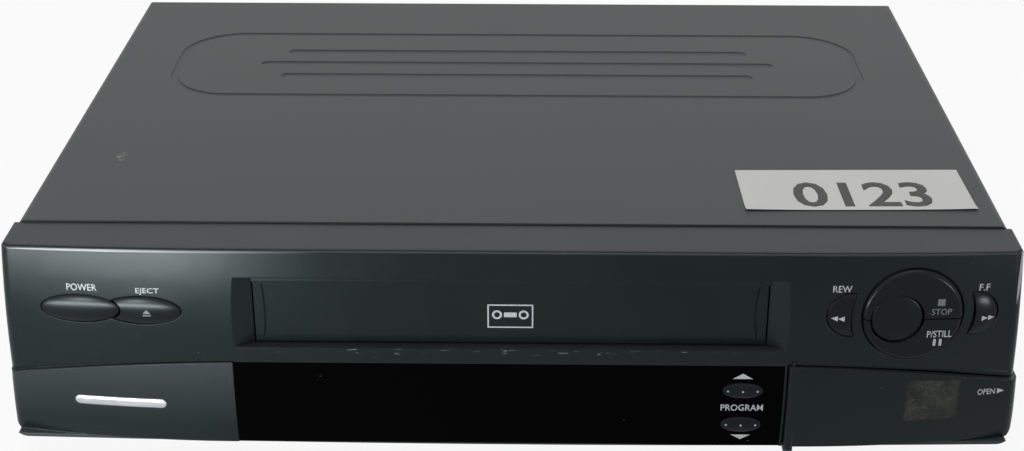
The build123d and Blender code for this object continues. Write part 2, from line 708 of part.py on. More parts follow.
def seam_z(x):
    """Height of the shadow line at x."""
    reach = face_half(SEAM_TOP) - SEAM_FLAT
    radius = (reach ** 2 + SEAM_DROP ** 2) / (2 * SEAM_DROP)
    out = max(abs(x) - SEAM_FLAT, 0)
    return SEAM_TOP - radius + math.sqrt(radius ** 2 - out ** 2)


def below_seam(x0, x1, low, drop):
    """Outline in X and Z under the shadow line, between x0 and x1, which lie on one side."""
    tip = (x0 + x1) / 2
    return make_face(
        Line((x0, low), (x1, low))
        + Line((x1, low), (x1, seam_z(x1) - drop))
        + ThreePointArc((x1, seam_z(x1) - drop), (tip, seam_z(tip) - drop), (x0, seam_z(x0) - drop))
        + Line((x0, seam_z(x0) - drop), (x0, low))
    )


# ================================================================== button outlines
def oval(grow=0.0):
    return Ellipse(OVAL_LONG / 2 + grow, OVAL_HIGH / 2 + grow)


def crescent(side, grow=0.0):
    """Half round key whose straight side is hollowed round the ring; side is -1 left or 1 right."""
    key_x = REWIND_X if side < 0 else FORWARD_X
    hollow = Pos(RING_X - key_x, 0) * Circle(CRESCENT_HOLLOW_R - grow)
    return Circle(CRESCENT_R + grow) - hollow


def station(x, z, tilt):
    """Place on the face at x and z, with its own -Y pointing straight out of the bowed face."""
    return Location((x, face_y(x, z), z), (0, 0, tilt))


def crowned(outline, long, high, shape):
    """A key cap: an outline carried back from the face, its domed front standing proud of it."""
    dome, proud = shape
    base = dome - proud
    ball = scale(Sphere(1), by=(long / 2 * DOME_SPREAD, dome, high / 2 * DOME_SPREAD))
    front = prism_y(outline, -proud - PAST, base) & Pos(0, base, 0) * ball
    return front + prism_y(outline, base, CAP_DEPTH)


def stem_reach(place, spot, tip):
    """Length along a key's own Y, at a spot on its cap, that ends at the row's Y of tip."""
    turn = math.radians(place.orientation.Z)
    return (tip - place.position.Y - spot[0] * math.sin(turn)) / math.cos(turn)


def stem(place, spot=(0.0, 0.0)):
    """The round stem from the back of a cap to just in front of its switch."""
    reach = stem_reach(place, spot, KEY_BOARD_Y - SWITCH_HIGH - STEM_GAP)
    return place * rod_y(spot[0], spot[1], CAP_DEPTH, reach, KEY_STEM_R)


OVAL_PLACE = station((POWER_X + EJECT_X) / 2, OVAL_Z, OVAL_TILT)
RING_PLACE = station(RING_X, RING_Z, RING_TILT)
REWIND_PLACE = station(REWIND_X, RING_Z, REWIND_TILT)
FORWARD_PLACE = station(FORWARD_X, RING_Z, FORWARD_TILT)


# ================================================================== fascia
def front_panel():
    """Moulded fascia: bowed shell, cassette surround, key openings, window ledge and jack bay."""
    shell = face_block(0, FASCIA_BACK)
    shell -= face_block(FASCIA_WALL, FASCIA_BACK + PAST, LIP_TOP - PAST, FASCIA_TOP - FASCIA_WALL)
    shell += prism_z(lip_outline(), LIP_FOOT, LIP_TOP)
    shell += cassette_surround()
    shell -= cassette_pocket()
    shell += window_ledge()
    shell = jack_bay(shell)
    shell -= window_opening()
    shell -= key_openings()
    shell -= seam_groove()
    return shell & skirt_trim(FASCIA_BACK + PAST)


def lip_outline():
    """Outline of the sill in X and Y, bowed like the face but less."""
    front = FRONT_Y + LIP_SET_BACK
    half = face_half(LIP_TOP)
    return make_face(
        Line((-half, FASCIA_BACK), (half, FASCIA_BACK))
        + Line((half, FASCIA_BACK), (half, front + LIP_BOW))
        + ThreePointArc((half, front + LIP_BOW), (0, front), (-half, front + LIP_BOW))
        + Line((-half, front + LIP_BOW), (-half, FASCIA_BACK))
    )


def skirt_trim(back):
    """Everything in front of back that lies inside the face's rounded lower corners."""
    side = Pos(0, LIP_FOOT + HEIGHT) * Rectangle(FASCIA_FOOT_WIDTH, 2 * HEIGHT)
    low = side.vertices().group_by(Axis.Y)[0]
    return prism_y(fillet(low, SKIRT_CORNER), FRONT_Y - CLEAR, back)


def cassette_surround():
    """Thick frame behind the face that carries the flap's recess and its hinge ears."""
    half = FLAP_WIDTH / 2 + BEVEL_SIDE + SURROUND_SIDE
    back = FLAP_AXIS_Y + FLAP_PIN_R + SURROUND_BACK
    front = FRONT_Y - CROWN + FASCIA_WALL / 2
    return block(-half, half, front, back, FLAP_FOOT - SURROUND_UNDER, FLAP_TOP + SURROUND_OVER)


def cassette_pocket():
    """Bevelled recess, the slot itself and the bores for the flap's pins."""
    mouth_y = FRONT_Y - CROWN - BEVEL_MOUTH
    slot_half = FLAP_WIDTH / 2 + FLAP_GAP
    low = FLAP_FOOT - FLAP_GAP
    high = FLAP_TOP + FLAP_GAP

    def rectangle(y, side, top, foot):
        middle = (high + top + low - foot) / 2
        tall = (high + top) - (low - foot)
        wide = 2 * (slot_half + side)
        return Plane.XZ.offset(-y) * (Pos(0, middle) * Rectangle(wide, tall))

    flare = loft([
        rectangle(mouth_y, BEVEL_MOUTH_SIDE, BEVEL_TOP, -BEVEL_FOOT).faces()[0],
        rectangle(FLAP_Y, 0, 0, 0).faces()[0],
    ])
    slot = block(-slot_half, slot_half, FLAP_Y - FIT, FASCIA_BACK + PAST, low, high)
    reach = FLAP_WIDTH / 2 + FLAP_PIN_LONG + FLAP_PIN_END
    bores = rod_x(FLAP_AXIS_Y, FLAP_AXIS_Z, -FLAP_WIDTH / 2 - FLAP_SPRING_PIN, reach, FLAP_PIN_R + FIT)
    coil = SPRING_R + SPRING_WIRE_R + SLIP
    nest = block(0, SPRING_LONG + 2 * SLIP, -coil, FASCIA_BACK - FLAP_AXIS_Y, -coil, coil)
    return flare + slot + bores + Pos(SPRING_X - SLIP, FLAP_AXIS_Y, FLAP_AXIS_Z) * nest


def window_outline(shrink=0.0):
    """Outline of the display window in X and Z."""
    left = WINDOW_LEFT + shrink
    right = WINDOW_RIGHT - shrink
    return polygon(
        (left, LIP_TOP + shrink),
        (right, LIP_TOP + shrink),
        (right, SEAM_TOP - SEAM_GAP - shrink),
        (left, SEAM_TOP - SEAM_GAP - shrink),
    )


def window_ledge():
    """Rim behind the window that it is glued to."""
    back = FRONT_Y - CROWN + WINDOW_SHEET + FASCIA_WALL + WINDOW_RIM_DEEP
    rim = prism_y(window_outline(-WINDOW_LEDGE), FRONT_Y + FASCIA_WALL / 5, back)
    return rim & block(-COVER_WIDTH, COVER_WIDTH, FRONT_Y, back, LIP_TOP, HEIGHT)


def window_opening():
    """Seat for the window, open in the middle for the display."""
    front = FRONT_Y - CLEAR
    seat = prism_y(window_outline(), front, FASCIA_BACK) & (
        lower_block(-2 * PAST, FASCIA_BACK) - lower_block(WINDOW_SHEET + WINDOW_GLUE, FASCIA_BACK + PAST)
    )
    return seat + prism_y(window_outline(WINDOW_LEDGE), front, FASCIA_BACK - DOOR_WRAP)


def jack_bay(shell):
    """Opens the face behind the door and closes the bay with a floor, a roof and a left wall."""
    right = FASCIA_FOOT_WIDTH / 2 + 5 * PAST
    left = DOOR_LEFT - DOOR_GAP
    under = below_seam(left, right, LIP_TOP, 0)
    front = FRONT_Y - CLEAR
    cut_back = FRONT_Y + DOOR_WRAP + BOW_FOOT
    shell -= prism_y(under, front, cut_back)
    bay = below_seam(left - BAY_WALL, right, LIP_TOP, -BAY_WALL)
    room = prism_y(under, front - PAST, cut_back + PAST)
    lining = prism_y(bay, front, cut_back) - lower_block(BAY_DEPTH + BAY_WALL, FASCIA_BACK + 3 * PAST)
    rim = (lining - room) & lower_block(BAY_RIM, FASCIA_BACK)
    floor = lining & lower_block(DOOR_SHEET + BAY_FLOOR_GAP, FASCIA_BACK)
    shell += rim + (floor - (room - lower_block(BAY_DEPTH, FASCIA_BACK + 2 * PAST)))
    edge = DOOR_KNUCKLE_R
    shell += rod_z(DOOR_AXIS_X, DOOR_AXIS_Y, LIP_FOOT, LIP_TOP, edge)
    lug_back = FASCIA_BACK - FASCIA_DEPTH / 2
    shell += block(DOOR_AXIS_X - edge, DOOR_AXIS_X + edge, DOOR_AXIS_Y, lug_back, LIP_FOOT, LIP_TOP)
    top = seam_z(DOOR_AXIS_X) + DOOR_PIN_LONG + DOOR_PIN_END
    shell -= rod_z(DOOR_AXIS_X, DOOR_AXIS_Y, LIP_TOP - 5 * PAST, top, DOOR_PIN_R + FIT)
    for jack in JACK_X:
        shell -= rod_y(jack, JACK_Z, front, FASCIA_BACK, JACK_R + SLIP)
    shell -= rod_y(RECORD_X, RECORD_Z, front, FASCIA_BACK, RECORD_R + KEY_GAP)
    return shell


def key_openings():
    """Openings for the ovals, the ring, the two crescents."""
    front = -CLEAR / 2
    back = CLEAR
    ovals = OVAL_PLACE * prism_y(Pos(-OVAL_OFF, 0) * oval(KEY_GAP), front, back)
    ovals += OVAL_PLACE * prism_y(Pos(OVAL_OFF, 0) * oval(KEY_GAP), front, back)
    ring = RING_PLACE * prism_y(Circle(RING_R + KEY_GAP), front, back)
    rewind = REWIND_PLACE * prism_y(crescent(-1, KEY_GAP), front, back)
    forward = FORWARD_PLACE * prism_y(crescent(1, KEY_GAP), front, back)
    return ovals + ring + rewind + forward


def seam_groove():
    """Shadow line across the left end, from the window to the corner."""
    left = -face_half(LIP_TOP) - 5 * PAST
    right = WINDOW_LEFT + SEAM_GAP / 2
    band = below_seam(left, right, LIP_TOP, 0) - below_seam(left, right, LIP_TOP, SEAM_GAP)
    skin = lower_block(-2 * PAST, FASCIA_BACK) - lower_block(SEAM_DEPTH, FASCIA_BACK + PAST)
    return prism_y(band, FRONT_Y - CLEAR, FASCIA_BACK) & skin


def display_window():
    """Smoked window moulding, with openings for the two programme keys."""
    front = FRONT_Y - CLEAR
    lens = prism_y(window_outline(SLIP / 2), front, FASCIA_BACK)
    lens &= lower_block(WINDOW_SUNK, FASCIA_BACK) - lower_block(WINDOW_SHEET, FASCIA_BACK + PAST)
    for z in (PROGRAM_UP_Z, PROGRAM_DOWN_Z):
        lens -= prism_y(Pos(PROGRAM_X, z) * program_oval(KEY_GAP), front, FASCIA_BACK)
    return lens


def program_oval(grow=0.0):
    return Ellipse(PROGRAM_LONG / 2 + grow, PROGRAM_HIGH / 2 + grow)


def cassette_flap():
    """Hinged door of the cassette slot, with a thin return round its edge and two pins."""
    half = FLAP_WIDTH / 2
    back = FLAP_Y + FLAP_SHEET
    plate = block(-half, half, FLAP_Y, back, FLAP_FOOT, FLAP_TOP)
    end = half - FLAP_END
    low = FLAP_FOOT + FLAP_HEEL
    plate -= block(-end, end, back - FLAP_THINNED, back + PAST, low, FLAP_AXIS_Z - FLAP_HEAD)
    top_front = plate.edges().filter_by(Axis.X).sort_by(lambda e: -e.center().Z + e.center().Y)[0]
    plate = fillet(top_front, FLAP_EDGE_R)
    room = block(-half, half, FLAP_Y, back + 2 * PAST, 0, HEIGHT)
    for side in (-1, 1):
        a, b = sorted((side * (half - FLAP_BARREL_LONG), side * half))
        plate += rod_x(FLAP_AXIS_Y, FLAP_AXIS_Z, a, b, FLAP_SHEET / 2 + SLIP) & room
    left = FLAP_PIN_END - half - FLAP_SPRING_PIN
    return plate - flap_grooves() + rod_x(FLAP_AXIS_Y, FLAP_AXIS_Z, left, half + FLAP_PIN_LONG, FLAP_PIN_R)


def flap_grooves():
    """One shallow bowed groove down each end of the flap's front."""
    low = FLAP_FOOT + GROOVE_FOOT
    high = FLAP_TOP - GROOVE_HEAD
    middle = (low + high) / 2
    narrow = GROOVE_WIDE * 0.3
    ends = Part()
    for side in (-1, 1):
        start = side * (FLAP_WIDTH / 2 - GROOVE_IN)
        bend = start - side * GROOVE_BOW
        outline = make_face(
            ThreePointArc((start, low), (bend, middle), (start, high))
            + Line((start, high), (start + side * narrow, high))
            + ThreePointArc(
                (start + side * narrow, high), (bend + side * GROOVE_WIDE, middle),
                (start + side * narrow, low))
            + Line((start + side * narrow, low), (start, low))
        )
        ends += prism_y(outline, FLAP_Y - PAST, FLAP_Y + GROOVE_DEEP)
    return ends


def control_door():
    """Bowed door over the jack bay: knuckle and pins on its left edge, a return on its right."""
    right = FASCIA_FOOT_WIDTH / 2 + 5 * PAST
    low = LIP_TOP + DOOR_GAP
    back = FRONT_Y + DOOR_WRAP + BOW_FOOT - DOOR_GAP
    sheet = lower_block(-DOOR_PROUD, back) - lower_block(DOOR_SHEET - DOOR_PROUD, back + PAST)
    outline = below_seam(DOOR_AXIS_X, right, low, SEAM_GAP)
    door = prism_y(outline, FRONT_Y - CLEAR, back + PAST) & sheet
    high = seam_z(DOOR_AXIS_X) - SEAM_GAP
    door += rod_z(DOOR_AXIS_X, DOOR_AXIS_Y, low, high, DOOR_KNUCKLE_R)
    door &= skirt_trim(back + PAST)
    pin_top = seam_z(DOOR_AXIS_X) + DOOR_PIN_LONG
    pin_foot = LIP_TOP - DOOR_PIN_LONG
    return door + rod_z(DOOR_AXIS_X, DOOR_AXIS_Y, pin_foot, pin_top, DOOR_PIN_R)


def flap_spring():
    """Torsion spring round the flap's left pin: close coils and one leg back along the surround."""
    pitch = SPRING_LONG / (SPRING_COILS + 0.5)
    path = Helix(pitch, pitch * SPRING_COILS, SPRING_R)
    side = SPRING_WIRE_R * 1.6
    wire = Plane(origin=path @ 0, z_dir=path % 0) * Rectangle(side, side)
    coil = sweep(wire, path=path, is_frenet=True)
    x = SPRING_X + SPRING_WIRE_R
    leg = rod_y(x, FLAP_AXIS_Z - SPRING_R, FLAP_AXIS_Y, FLAP_AXIS_Y + SPRING_LEG, SPRING_WIRE_R)
    return Pos(x, FLAP_AXIS_Y, FLAP_AXIS_Z) * Rot(0, 90, 0) * coil + leg


# ================================================================== buttons
def power_button():
    cap = Pos(-OVAL_OFF, 0, 0) * crowned(oval(), OVAL_LONG, OVAL_HIGH, OVAL_DOME)
    return OVAL_PLACE * cap + stem(OVAL_PLACE, (-OVAL_OFF, 0))


def eject_button():
    """Right-hand oval, hollowed where the power key covers its left end."""
    cap = Pos(OVAL_OFF, 0, 0) * crowned(oval(), OVAL_LONG, OVAL_HIGH, OVAL_DOME)
    cap -= prism_y(Pos(-OVAL_OFF, 0) * oval(OVAL_OVERLAP), -CLEAR, CLEAR)
    return OVAL_PLACE * cap + stem(OVAL_PLACE, (OVAL_OFF, 0))


def turned_cap(radius, roll, rise):
    """A round cap turned about its middle: rise is the line from the middle to the rolled edge."""
    (x0, y0), (x1, y1), (x2, y2) = [(radius - inward, y) for inward, y in roll]
    profile = make_face(
        rise
        + ThreePointArc((x0, y0), (x1, y1), (x2, y2))
        + Line((x2, y2), (radius, CAP_DEPTH))
        + Line((radius, CAP_DEPTH), (0, CAP_DEPTH))
        + Line((0, CAP_DEPTH), rise @ 0)
    )
    return revolve(profile, Axis.Y)


def ring_body():
    """Full ring of the stop and pause keys before it is split, with a rolled outer edge."""
    inward, y = RING_ROLL[0]
    body = turned_cap(RING_R, RING_ROLL, Line((0, -RING_PROUD), (RING_R - inward, y)))
    centre = Pos(PLAY_SHIFT[0], 0, PLAY_SHIFT[1])
    return body - centre * rod_y(0, 0, -CLEAR, CLEAR, PLAY_R + KEY_GAP)


def half_ring(side):
    """Upper (1) or lower (-1) half of the ring."""
    z = PLAY_SHIFT[1] - RING_SPLIT_DROP
    reach = RING_R + 5 * PAST
    near = RING_SPLIT / 2
    low, high = (z + near, reach) if side > 0 else (-reach, z - near)
    return ring_body() & block(-reach, reach, -CLEAR, CLEAR, low, high)


def stop_button():
    return RING_PLACE * half_ring(1) + stem(RING_PLACE, STOP_STEM)


def pause_button():
    return RING_PLACE * half_ring(-1) + stem(RING_PLACE, PAUSE_STEM)


def play_button():
    """Round key set off centre in the ring, with a slow dome."""
    inward, y = PLAY_ROLL[0]
    swell = (PLAY_R * PLAY_SWELL[0], PLAY_SWELL[1])
    dome = ThreePointArc((0, -PLAY_PROUD), swell, (PLAY_R - inward, y))
    cap = Pos(PLAY_SHIFT[0], 0, PLAY_SHIFT[1]) * turned_cap(PLAY_R, PLAY_ROLL, dome)
    return RING_PLACE * cap + stem(RING_PLACE, PLAY_SHIFT)


def rewind_button():
    cap = crowned(crescent(-1), CRESCENT_R * 2, CRESCENT_R * 2, CRESCENT_DOME)
    return REWIND_PLACE * cap + stem(REWIND_PLACE, REWIND_STEM)


def fast_forward_button():
    cap = crowned(crescent(1), CRESCENT_R * 2, CRESCENT_R * 2, CRESCENT_DOME)
    return FORWARD_PLACE * cap + stem(FORWARD_PLACE, FORWARD_STEM)


def program_button(z):
    place = station(PROGRAM_X, z, 0)
    cap = crowned(program_oval(), PROGRAM_LONG, PROGRAM_HIGH, PROGRAM_DOME)
    return place * cap + stem(place)


def record_button():
    """Small round key in the bay behind the door."""
    place = Location((RECORD_X, face_y(RECORD_X, RECORD_Z, BAY_DEPTH), RECORD_Z))
    cap = rod_y(0, 0, -RECORD_PROUD, RECORD_DEEP, RECORD_R)
    cap = chamfer(cap.edges().sort_by(Axis.Y)[0], RECORD_EDGE)
    tip = SOCKET_BOARD_Y - SWITCH_HIGH - STEM_GAP
    return place * (cap + rod_y(0, 0, RECORD_DEEP, tip - place.position.Y, KEY_STEM_R))


# ================================================================== case
def bead_ring(grow):
    """Outline of the long bead at its middle line, widened by grow on both sides."""
    outer = RectangleRounded(BEAD_LONG + grow, BEAD_HIGH + grow, BEAD_CORNER + grow / 2)
    inner = RectangleRounded(BEAD_LONG - grow, BEAD_HIGH - grow, BEAD_CORNER - grow / 2)
    return Pos(0, BEAD_Y) * (outer - inner)


def cover_ribs(grow):
    """Outlines of the three straight ribs inside the long bead."""
    ribs = Sketch()
    for row, long in enumerate(RIB_LONG):
        y = BEAD_Y + (row - (len(RIB_LONG) - 1) / 2) * RIB_PITCH
        ribs += Pos(0, y) * SlotOverall(long + grow, RIB_WIDE + grow)
    return ribs


def top_cover():
    """Folded steel cover with its pressed beads, side vents, rear lip and screw holes."""
    front = FASCIA_BACK + SLIP
    outer = block(-COVER_HALF, COVER_HALF, front, REAR_Y, COVER_HEM, HEIGHT)
    folds = outer.edges().filter_by(Axis.Y).group_by(Axis.Z)[-1]
    folds += outer.edges().filter_by(Axis.X).group_by(Axis.Z)[-1].sort_by(Axis.Y)[-1:]
    outer = fillet(folds, COVER_BEND)
    inner_half = COVER_HALF - COVER_SHEET
    top = HEIGHT - COVER_SHEET
    inner = block(-inner_half, inner_half, front - PAST, REAR_Y - COVER_SHEET, COVER_HEM - PAST, top)
    bends = inner.edges().filter_by(Axis.Y).group_by(Axis.Z)[-1]
    inner = fillet(bends, COVER_BEND - COVER_SHEET)
    cover = outer - inner
    lip_z = HEIGHT - COVER_REAR_LIP - COVER_SHEET
    cover -= block(-inner_half, inner_half, REAR_FACE, REAR_Y + PAST, COVER_HEM - PAST, lip_z)
    press = bead_ring(BEAD_TOP_WIDE) + cover_ribs(0)
    back = bead_ring(BEAD_TOP_WIDE + BEAD_RELIEF) + cover_ribs(BEAD_RELIEF)
    cover += extrude(Pos(0, 0, top) * back, amount=-BEAD_DEEP)
    cover -= extrude(Pos(0, 0, HEIGHT) * press, amount=-BEAD_DEEP, taper=BEAD_TAPER)
    for step in range(VENT_COUNT):
        y = VENT_BACK - step * VENT_PITCH
        hole = Pos(y, HEIGHT / 2) * Rot(0, 0, 90) * SlotOverall(VENT_LONG, VENT_WIDE)
        cover -= prism_x(hole, -COVER_HALF - PAST, COVER_HALF + PAST)
    for y in COVER_SCREW_Y:
        cover -= rod_x(y, COVER_SCREW_Z, -COVER_HALF - PAST, COVER_HALF + PAST, SCREW_HOLE_R)
    return cover


def cover_screws():
    """Two pan head screws through each side of the cover into the frame."""
    screws = []
    for side in (-1, 1):
        for y in COVER_SCREW_Y:
            face = side * COVER_HALF
            head = rod_x(y, COVER_SCREW_Z, *sorted((face, face + side * SCREW_HIGH)), SCREW_R)
            outer_edge = head.edges().sort_by(Axis.X)[0 if side < 0 else -1]
            head = fillet(outer_edge, SCREW_HIGH * 0.5)
            shank = rod_x(y, COVER_SCREW_Z, *sorted((face, face - side * SCREW_SHANK)), SCREW_SHANK_R)
            screws.append(head + shank)
    return Compound(children=screws)


def main_frame():
    """Plastic tub: skirt under the cover, inner walls, board bosses and deck posts."""
    floor_top = FOOT_HIGH + BASE_SHEET + SLIP + FRAME_WALL
    frame = frame_skirt() + frame_tub(floor_top)
    for x, y in DECK_SCREWS:
        frame += rod_z(x, y, floor_top - SLIP, DECK_TOP - DECK_SHEET, DECK_POST_R)
        frame -= rod_z(x, y, DECK_TOP - DECK_POST_BORE, DECK_TOP, DECK_SCREW_R)
    for x in BOSS_X:
        for y in BOSS_Y:
            frame += rod_z(x, y, floor_top - SLIP, MAIN_BOARD_Z, BOSS_R)
            frame += rod_z(-x, y, floor_top - SLIP, MAIN_BOARD_Z, BOSS_R)
    wall = COVER_HALF - COVER_SHEET - SLIP
    for side in (-1, 1):
        for y in COVER_SCREW_Y:
            a, b = sorted((side * wall, side * (wall - SCREW_BOSS_LONG)))
            frame += rod_x(y, COVER_SCREW_Z, a, b, SCREW_BOSS_R)
            a, b = sorted((side * (wall + PAST), side * (wall - SCREW_BOSS_BORE)))
            frame -= rod_x(y, COVER_SCREW_Z, a, b, SCREW_SHANK_R + FIT)
    return frame


def frame_skirt():
    """Low skirt all round under the cover and the fascia."""
    front = FRONT_Y + FRAME_SET_BACK
    long = REAR_Y - front
    outer = RectangleRounded(COVER_WIDTH, long, FRAME_CORNER)
    inner = RectangleRounded(COVER_WIDTH - 2 * FRAME_WALL, long - 2 * FRAME_WALL, FRAME_CORNER - FRAME_WALL)
    band = Pos(0, (front + REAR_Y) / 2) * (outer - inner)
    behind = prism_z(band, FOOT_HIGH, COVER_HEM - SLIP)
    behind &= block(-COVER_WIDTH, COVER_WIDTH, FASCIA_BACK + SLIP, REAR_Y + PAST, 0, HEIGHT)
    return prism_z(band, FOOT_HIGH, LIP_FOOT - SLIP) + behind


def frame_tub(floor_top):
    """Inner walls and the windowed floor, open at the front for the tape and at the back for sockets."""
    out = COVER_HALF - COVER_SHEET - SLIP
    front = FASCIA_BACK + SLIP
    tub = block(-out, out, front, PANEL_BACK, FOOT_HIGH + BASE_SHEET + SLIP, FRAME_TOP)
    half = out - FRAME_WALL
    room_front = front + FRAME_WALL
    room_back = PANEL_BACK - FRAME_WALL
    high = FRAME_TOP + PAST
    tub -= block(-half, half, room_front, room_back, floor_top, high)
    for side in (-1, 1):
        for near, far in ((FLOOR_SPINE, DECK_HALF - DECK_WINDOW_IN), (BAY_WINDOW_IN, BAY_WINDOW_OUT)):
            x0, x1 = sorted((side * near, side * far))
            for y0, y1 in BAY_WINDOWS_Y:
                tub -= block(x0, x1, y0, y1, 0, floor_top + PAST)
    tub -= block(-half, half, room_back - PAST, PANEL_BACK + PAST, floor_top + BACK_GATE, high)
    gate = DECK_HALF - 2 * FRAME_WALL
    return tub - block(-gate, gate, front - PAST, room_front + PAST, floor_top + FRONT_GATE, high)


def bottom_plate():
    """Steel base with rows of vents and pressed seats for the feet."""
    half = COVER_HALF - FRAME_WALL - SLIP
    front = FRONT_Y + FRAME_SET_BACK + FRAME_WALL + SLIP
    back = REAR_Y - FRAME_WALL - SLIP
    plate = block(-half, half, front, back, FOOT_HIGH, FOOT_HIGH + BASE_SHEET)
    plate = fillet(plate.edges().filter_by(Axis.Z), BASE_CORNER)
    slots = Sketch()
    long = BAY_WINDOW_OUT - BAY_WINDOW_IN
    side_x = (BAY_WINDOW_OUT + BAY_WINDOW_IN) / 2
    for x, (start, rows) in ((side_x, SIDE_VENTS), (DECK_HALF / 2, DECK_VENTS)):
        for row in range(rows):
            slot = SlotOverall(long, VENT_WIDE)
            slots += Pos(x, start + row * BASE_VENT_PITCH) * slot
            slots += Pos(-x, start + row * BASE_VENT_PITCH) * slot
    return plate - prism_z(slots, 0, FOOT_HIGH + BASE_SHEET + PAST)


def feet():
    """Four round rubber feet with a hollow sole."""
    pads = []
    for x in (-FOOT_X, FOOT_X):
        for y in (FOOT_FRONT_Y, FOOT_REAR_Y):
            pad = rod_z(x, y, 0, FOOT_HIGH, FOOT_R)
            pad = chamfer(pad.edges().sort_by(Axis.Z)[0], FOOT_EDGE)
            pads.append(pad - rod_z(x, y, -PAST, FOOT_HOLLOW, FOOT_HOLLOW_R))
    return Compound(children=pads)


# ------------------------------------------------------------------ rear sockets
def scart_outline(grow=0.0):
    """Skewed outline of a SCART shell in X and Z."""
    half = SCART_LONG / 2 + grow
    tall = SCART_HIGH / 2 + grow
    across, down = SCART_CUT
    return polygon((-half, -tall), (half, -tall), (half, tall - down), (half - across, tall), (-half, tall))


def inlet_outline(grow=0.0):
    return SlotOverall(INLET_LONG + 2 * grow, INLET_HIGH + 2 * grow)


def rear_panel():
    """Steel rear panel with its socket openings and a patch of vents."""
    half = COVER_HALF - COVER_SHEET - SLIP
    low = COVER_HEM
    high = HEIGHT - COVER_SHEET - SLIP
    face = Pos(0, (low + high) / 2) * Rectangle(2 * half, high - low)
    face = fillet(face.vertices().group_by(Axis.Y)[-1], COVER_BEND)
    for x in SCART_X:
        face -= Pos(x, SCART_Z) * scart_outline(SLIP)
    for z in PHONO_Z:
        face -= Pos(PHONO_X, z) * Circle(PHONO_R + PHONO_HOLE)
    for z in AERIAL_Z:
        face -= Pos(AERIAL_X, z) * Circle(AERIAL_R + AERIAL_HOLE)
    face -= Pos(INLET_X, INLET_Z) * inlet_outline(SLIP)
    for column in range(REAR_VENT_COUNT):
        x = REAR_VENT_X + column * REAR_VENT_PITCH
        face -= Pos(x, REAR_VENT_Z) * Rot(0, 0, 90) * SlotOverall(REAR_VENT_LONG, VENT_WIDE)
    return prism_y(face, REAR_FACE - REAR_SHEET, REAR_FACE)


def scart_sockets():
    """Two SCART sockets: moulded bodies behind the panel with shells and slotted cores."""
    sockets = []
    cup = SCART_DEEP * 11 / 18
    slot_deep = SCART_DEEP * 0.26
    wide, tall = SCART_CORE
    for x in SCART_X:
        place = Pos(x, SCART_Z)
        body = prism_y(place * scart_outline(SCART_BODY), PANEL_BACK - SCART_DEEP, PANEL_BACK)
        shell = scart_outline() - scart_outline(-SCART_SHELL)
        body += prism_y(place * shell, PANEL_BACK - PAST, REAR_FACE + SCART_PROUD)
        body -= prism_y(place * scart_outline(-SCART_SHELL), PANEL_BACK - cup, PANEL_BACK + PAST)
        middle = Pos(x, SCART_Z - SCART_CORE_DROP)
        core = middle * Rectangle(SCART_LONG - wide, SCART_HIGH - tall)
        body += prism_y(core, PANEL_BACK - cup - SLIP, REAR_FACE + SCART_CORE_PROUD)
        contacts = Sketch()
        for step in range(SCART_CONTACTS):
            along = (step - (SCART_CONTACTS - 1) / 2) * SCART_PITCH
            for row in (-1, 1):
                contacts += middle * Pos(along, row * SCART_CONTACT[1]) * Rectangle(*SCART_CONTACT)
        body -= prism_y(contacts, PANEL_BACK - slot_deep, REAR_FACE + SCART_PROUD + PAST)
        sockets.append(body)
    return Compound(children=sockets)


def phono_sockets():
    """Left and right audio output sockets on one moulded block."""
    low = PHONO_Z[0] - PHONO_OVER
    high = PHONO_Z[-1] + PHONO_OVER
    back = PANEL_BACK - PHONO_DEEP
    body = block(PHONO_X - PHONO_SIDE, PHONO_X + PHONO_SIDE, back, PANEL_BACK, low, high)
    for z in PHONO_Z:
        body += rod_y(PHONO_X, z, PANEL_BACK - PAST, REAR_FACE + PHONO_PROUD, PHONO_R)
        body -= rod_y(PHONO_X, z, PANEL_BACK - PHONO_DEEP / 2, REAR_FACE + PHONO_PROUD + PAST, PHONO_BORE_R)
    return body


def tuner_modulator():
    """Screened tuner can with its two coaxial aerial connectors."""
    can = block(*TUNER_X, PANEL_BACK - TUNER_LONG, PANEL_BACK, *TUNER_Z)
    can = fillet(can.edges().filter_by(Axis.Y), TUNER_EDGE)
    deep, wide, pitch, count = TUNER_DENT
    left = TUNER_X[0]
    low = TUNER_Z[0] + TUNER_DENT_IN
    high = TUNER_Z[1] - TUNER_DENT_IN
    for step in range(count):
        y = PANEL_BACK - TUNER_LONG + (step + 1) * pitch
        can -= block(left - PAST, left + deep, y, y + wide, low, high)
    tip = PLUG_TIP + PAST
    plug, socket = AERIAL_Z
    for z in AERIAL_Z:
        can += rod_y(AERIAL_X, z, PANEL_BACK - PAST, PLUG_TIP, AERIAL_R)
    can -= rod_y(AERIAL_X, plug, REAR_FACE, tip, AERIAL_R - AERIAL_WALL)
    can += rod_y(AERIAL_X, plug, PANEL_BACK, PLUG_TIP - AERIAL_WALL, AERIAL_PIN_R)
    return can - rod_y(AERIAL_X, socket, REAR_FACE, tip, AERIAL_SOCKET_R)


def mains_inlet():
    """Figure-of-eight mains inlet: a moulded cup with two round pins."""
    place = Pos(INLET_X, INLET_Z)
    body = prism_y(place * inlet_outline(INLET_BODY), PANEL_BACK - INLET_DEEP, PANEL_BACK)
    body += prism_y(place * inlet_outline(), PANEL_BACK - PAST, REAR_FACE + INLET_PROUD)
    body -= prism_y(place * inlet_outline(-INLET_WALL), PANEL_BACK - INLET_CUP, REAR_FACE + 2 * PAST)
    off, radius = INLET_PIN
    start, end = INLET_PIN_Y
    for side in (-1, 1):
        body += rod_y(INLET_X + side * off, INLET_Z, PANEL_BACK - start, PANEL_BACK - end, radius)
    return body


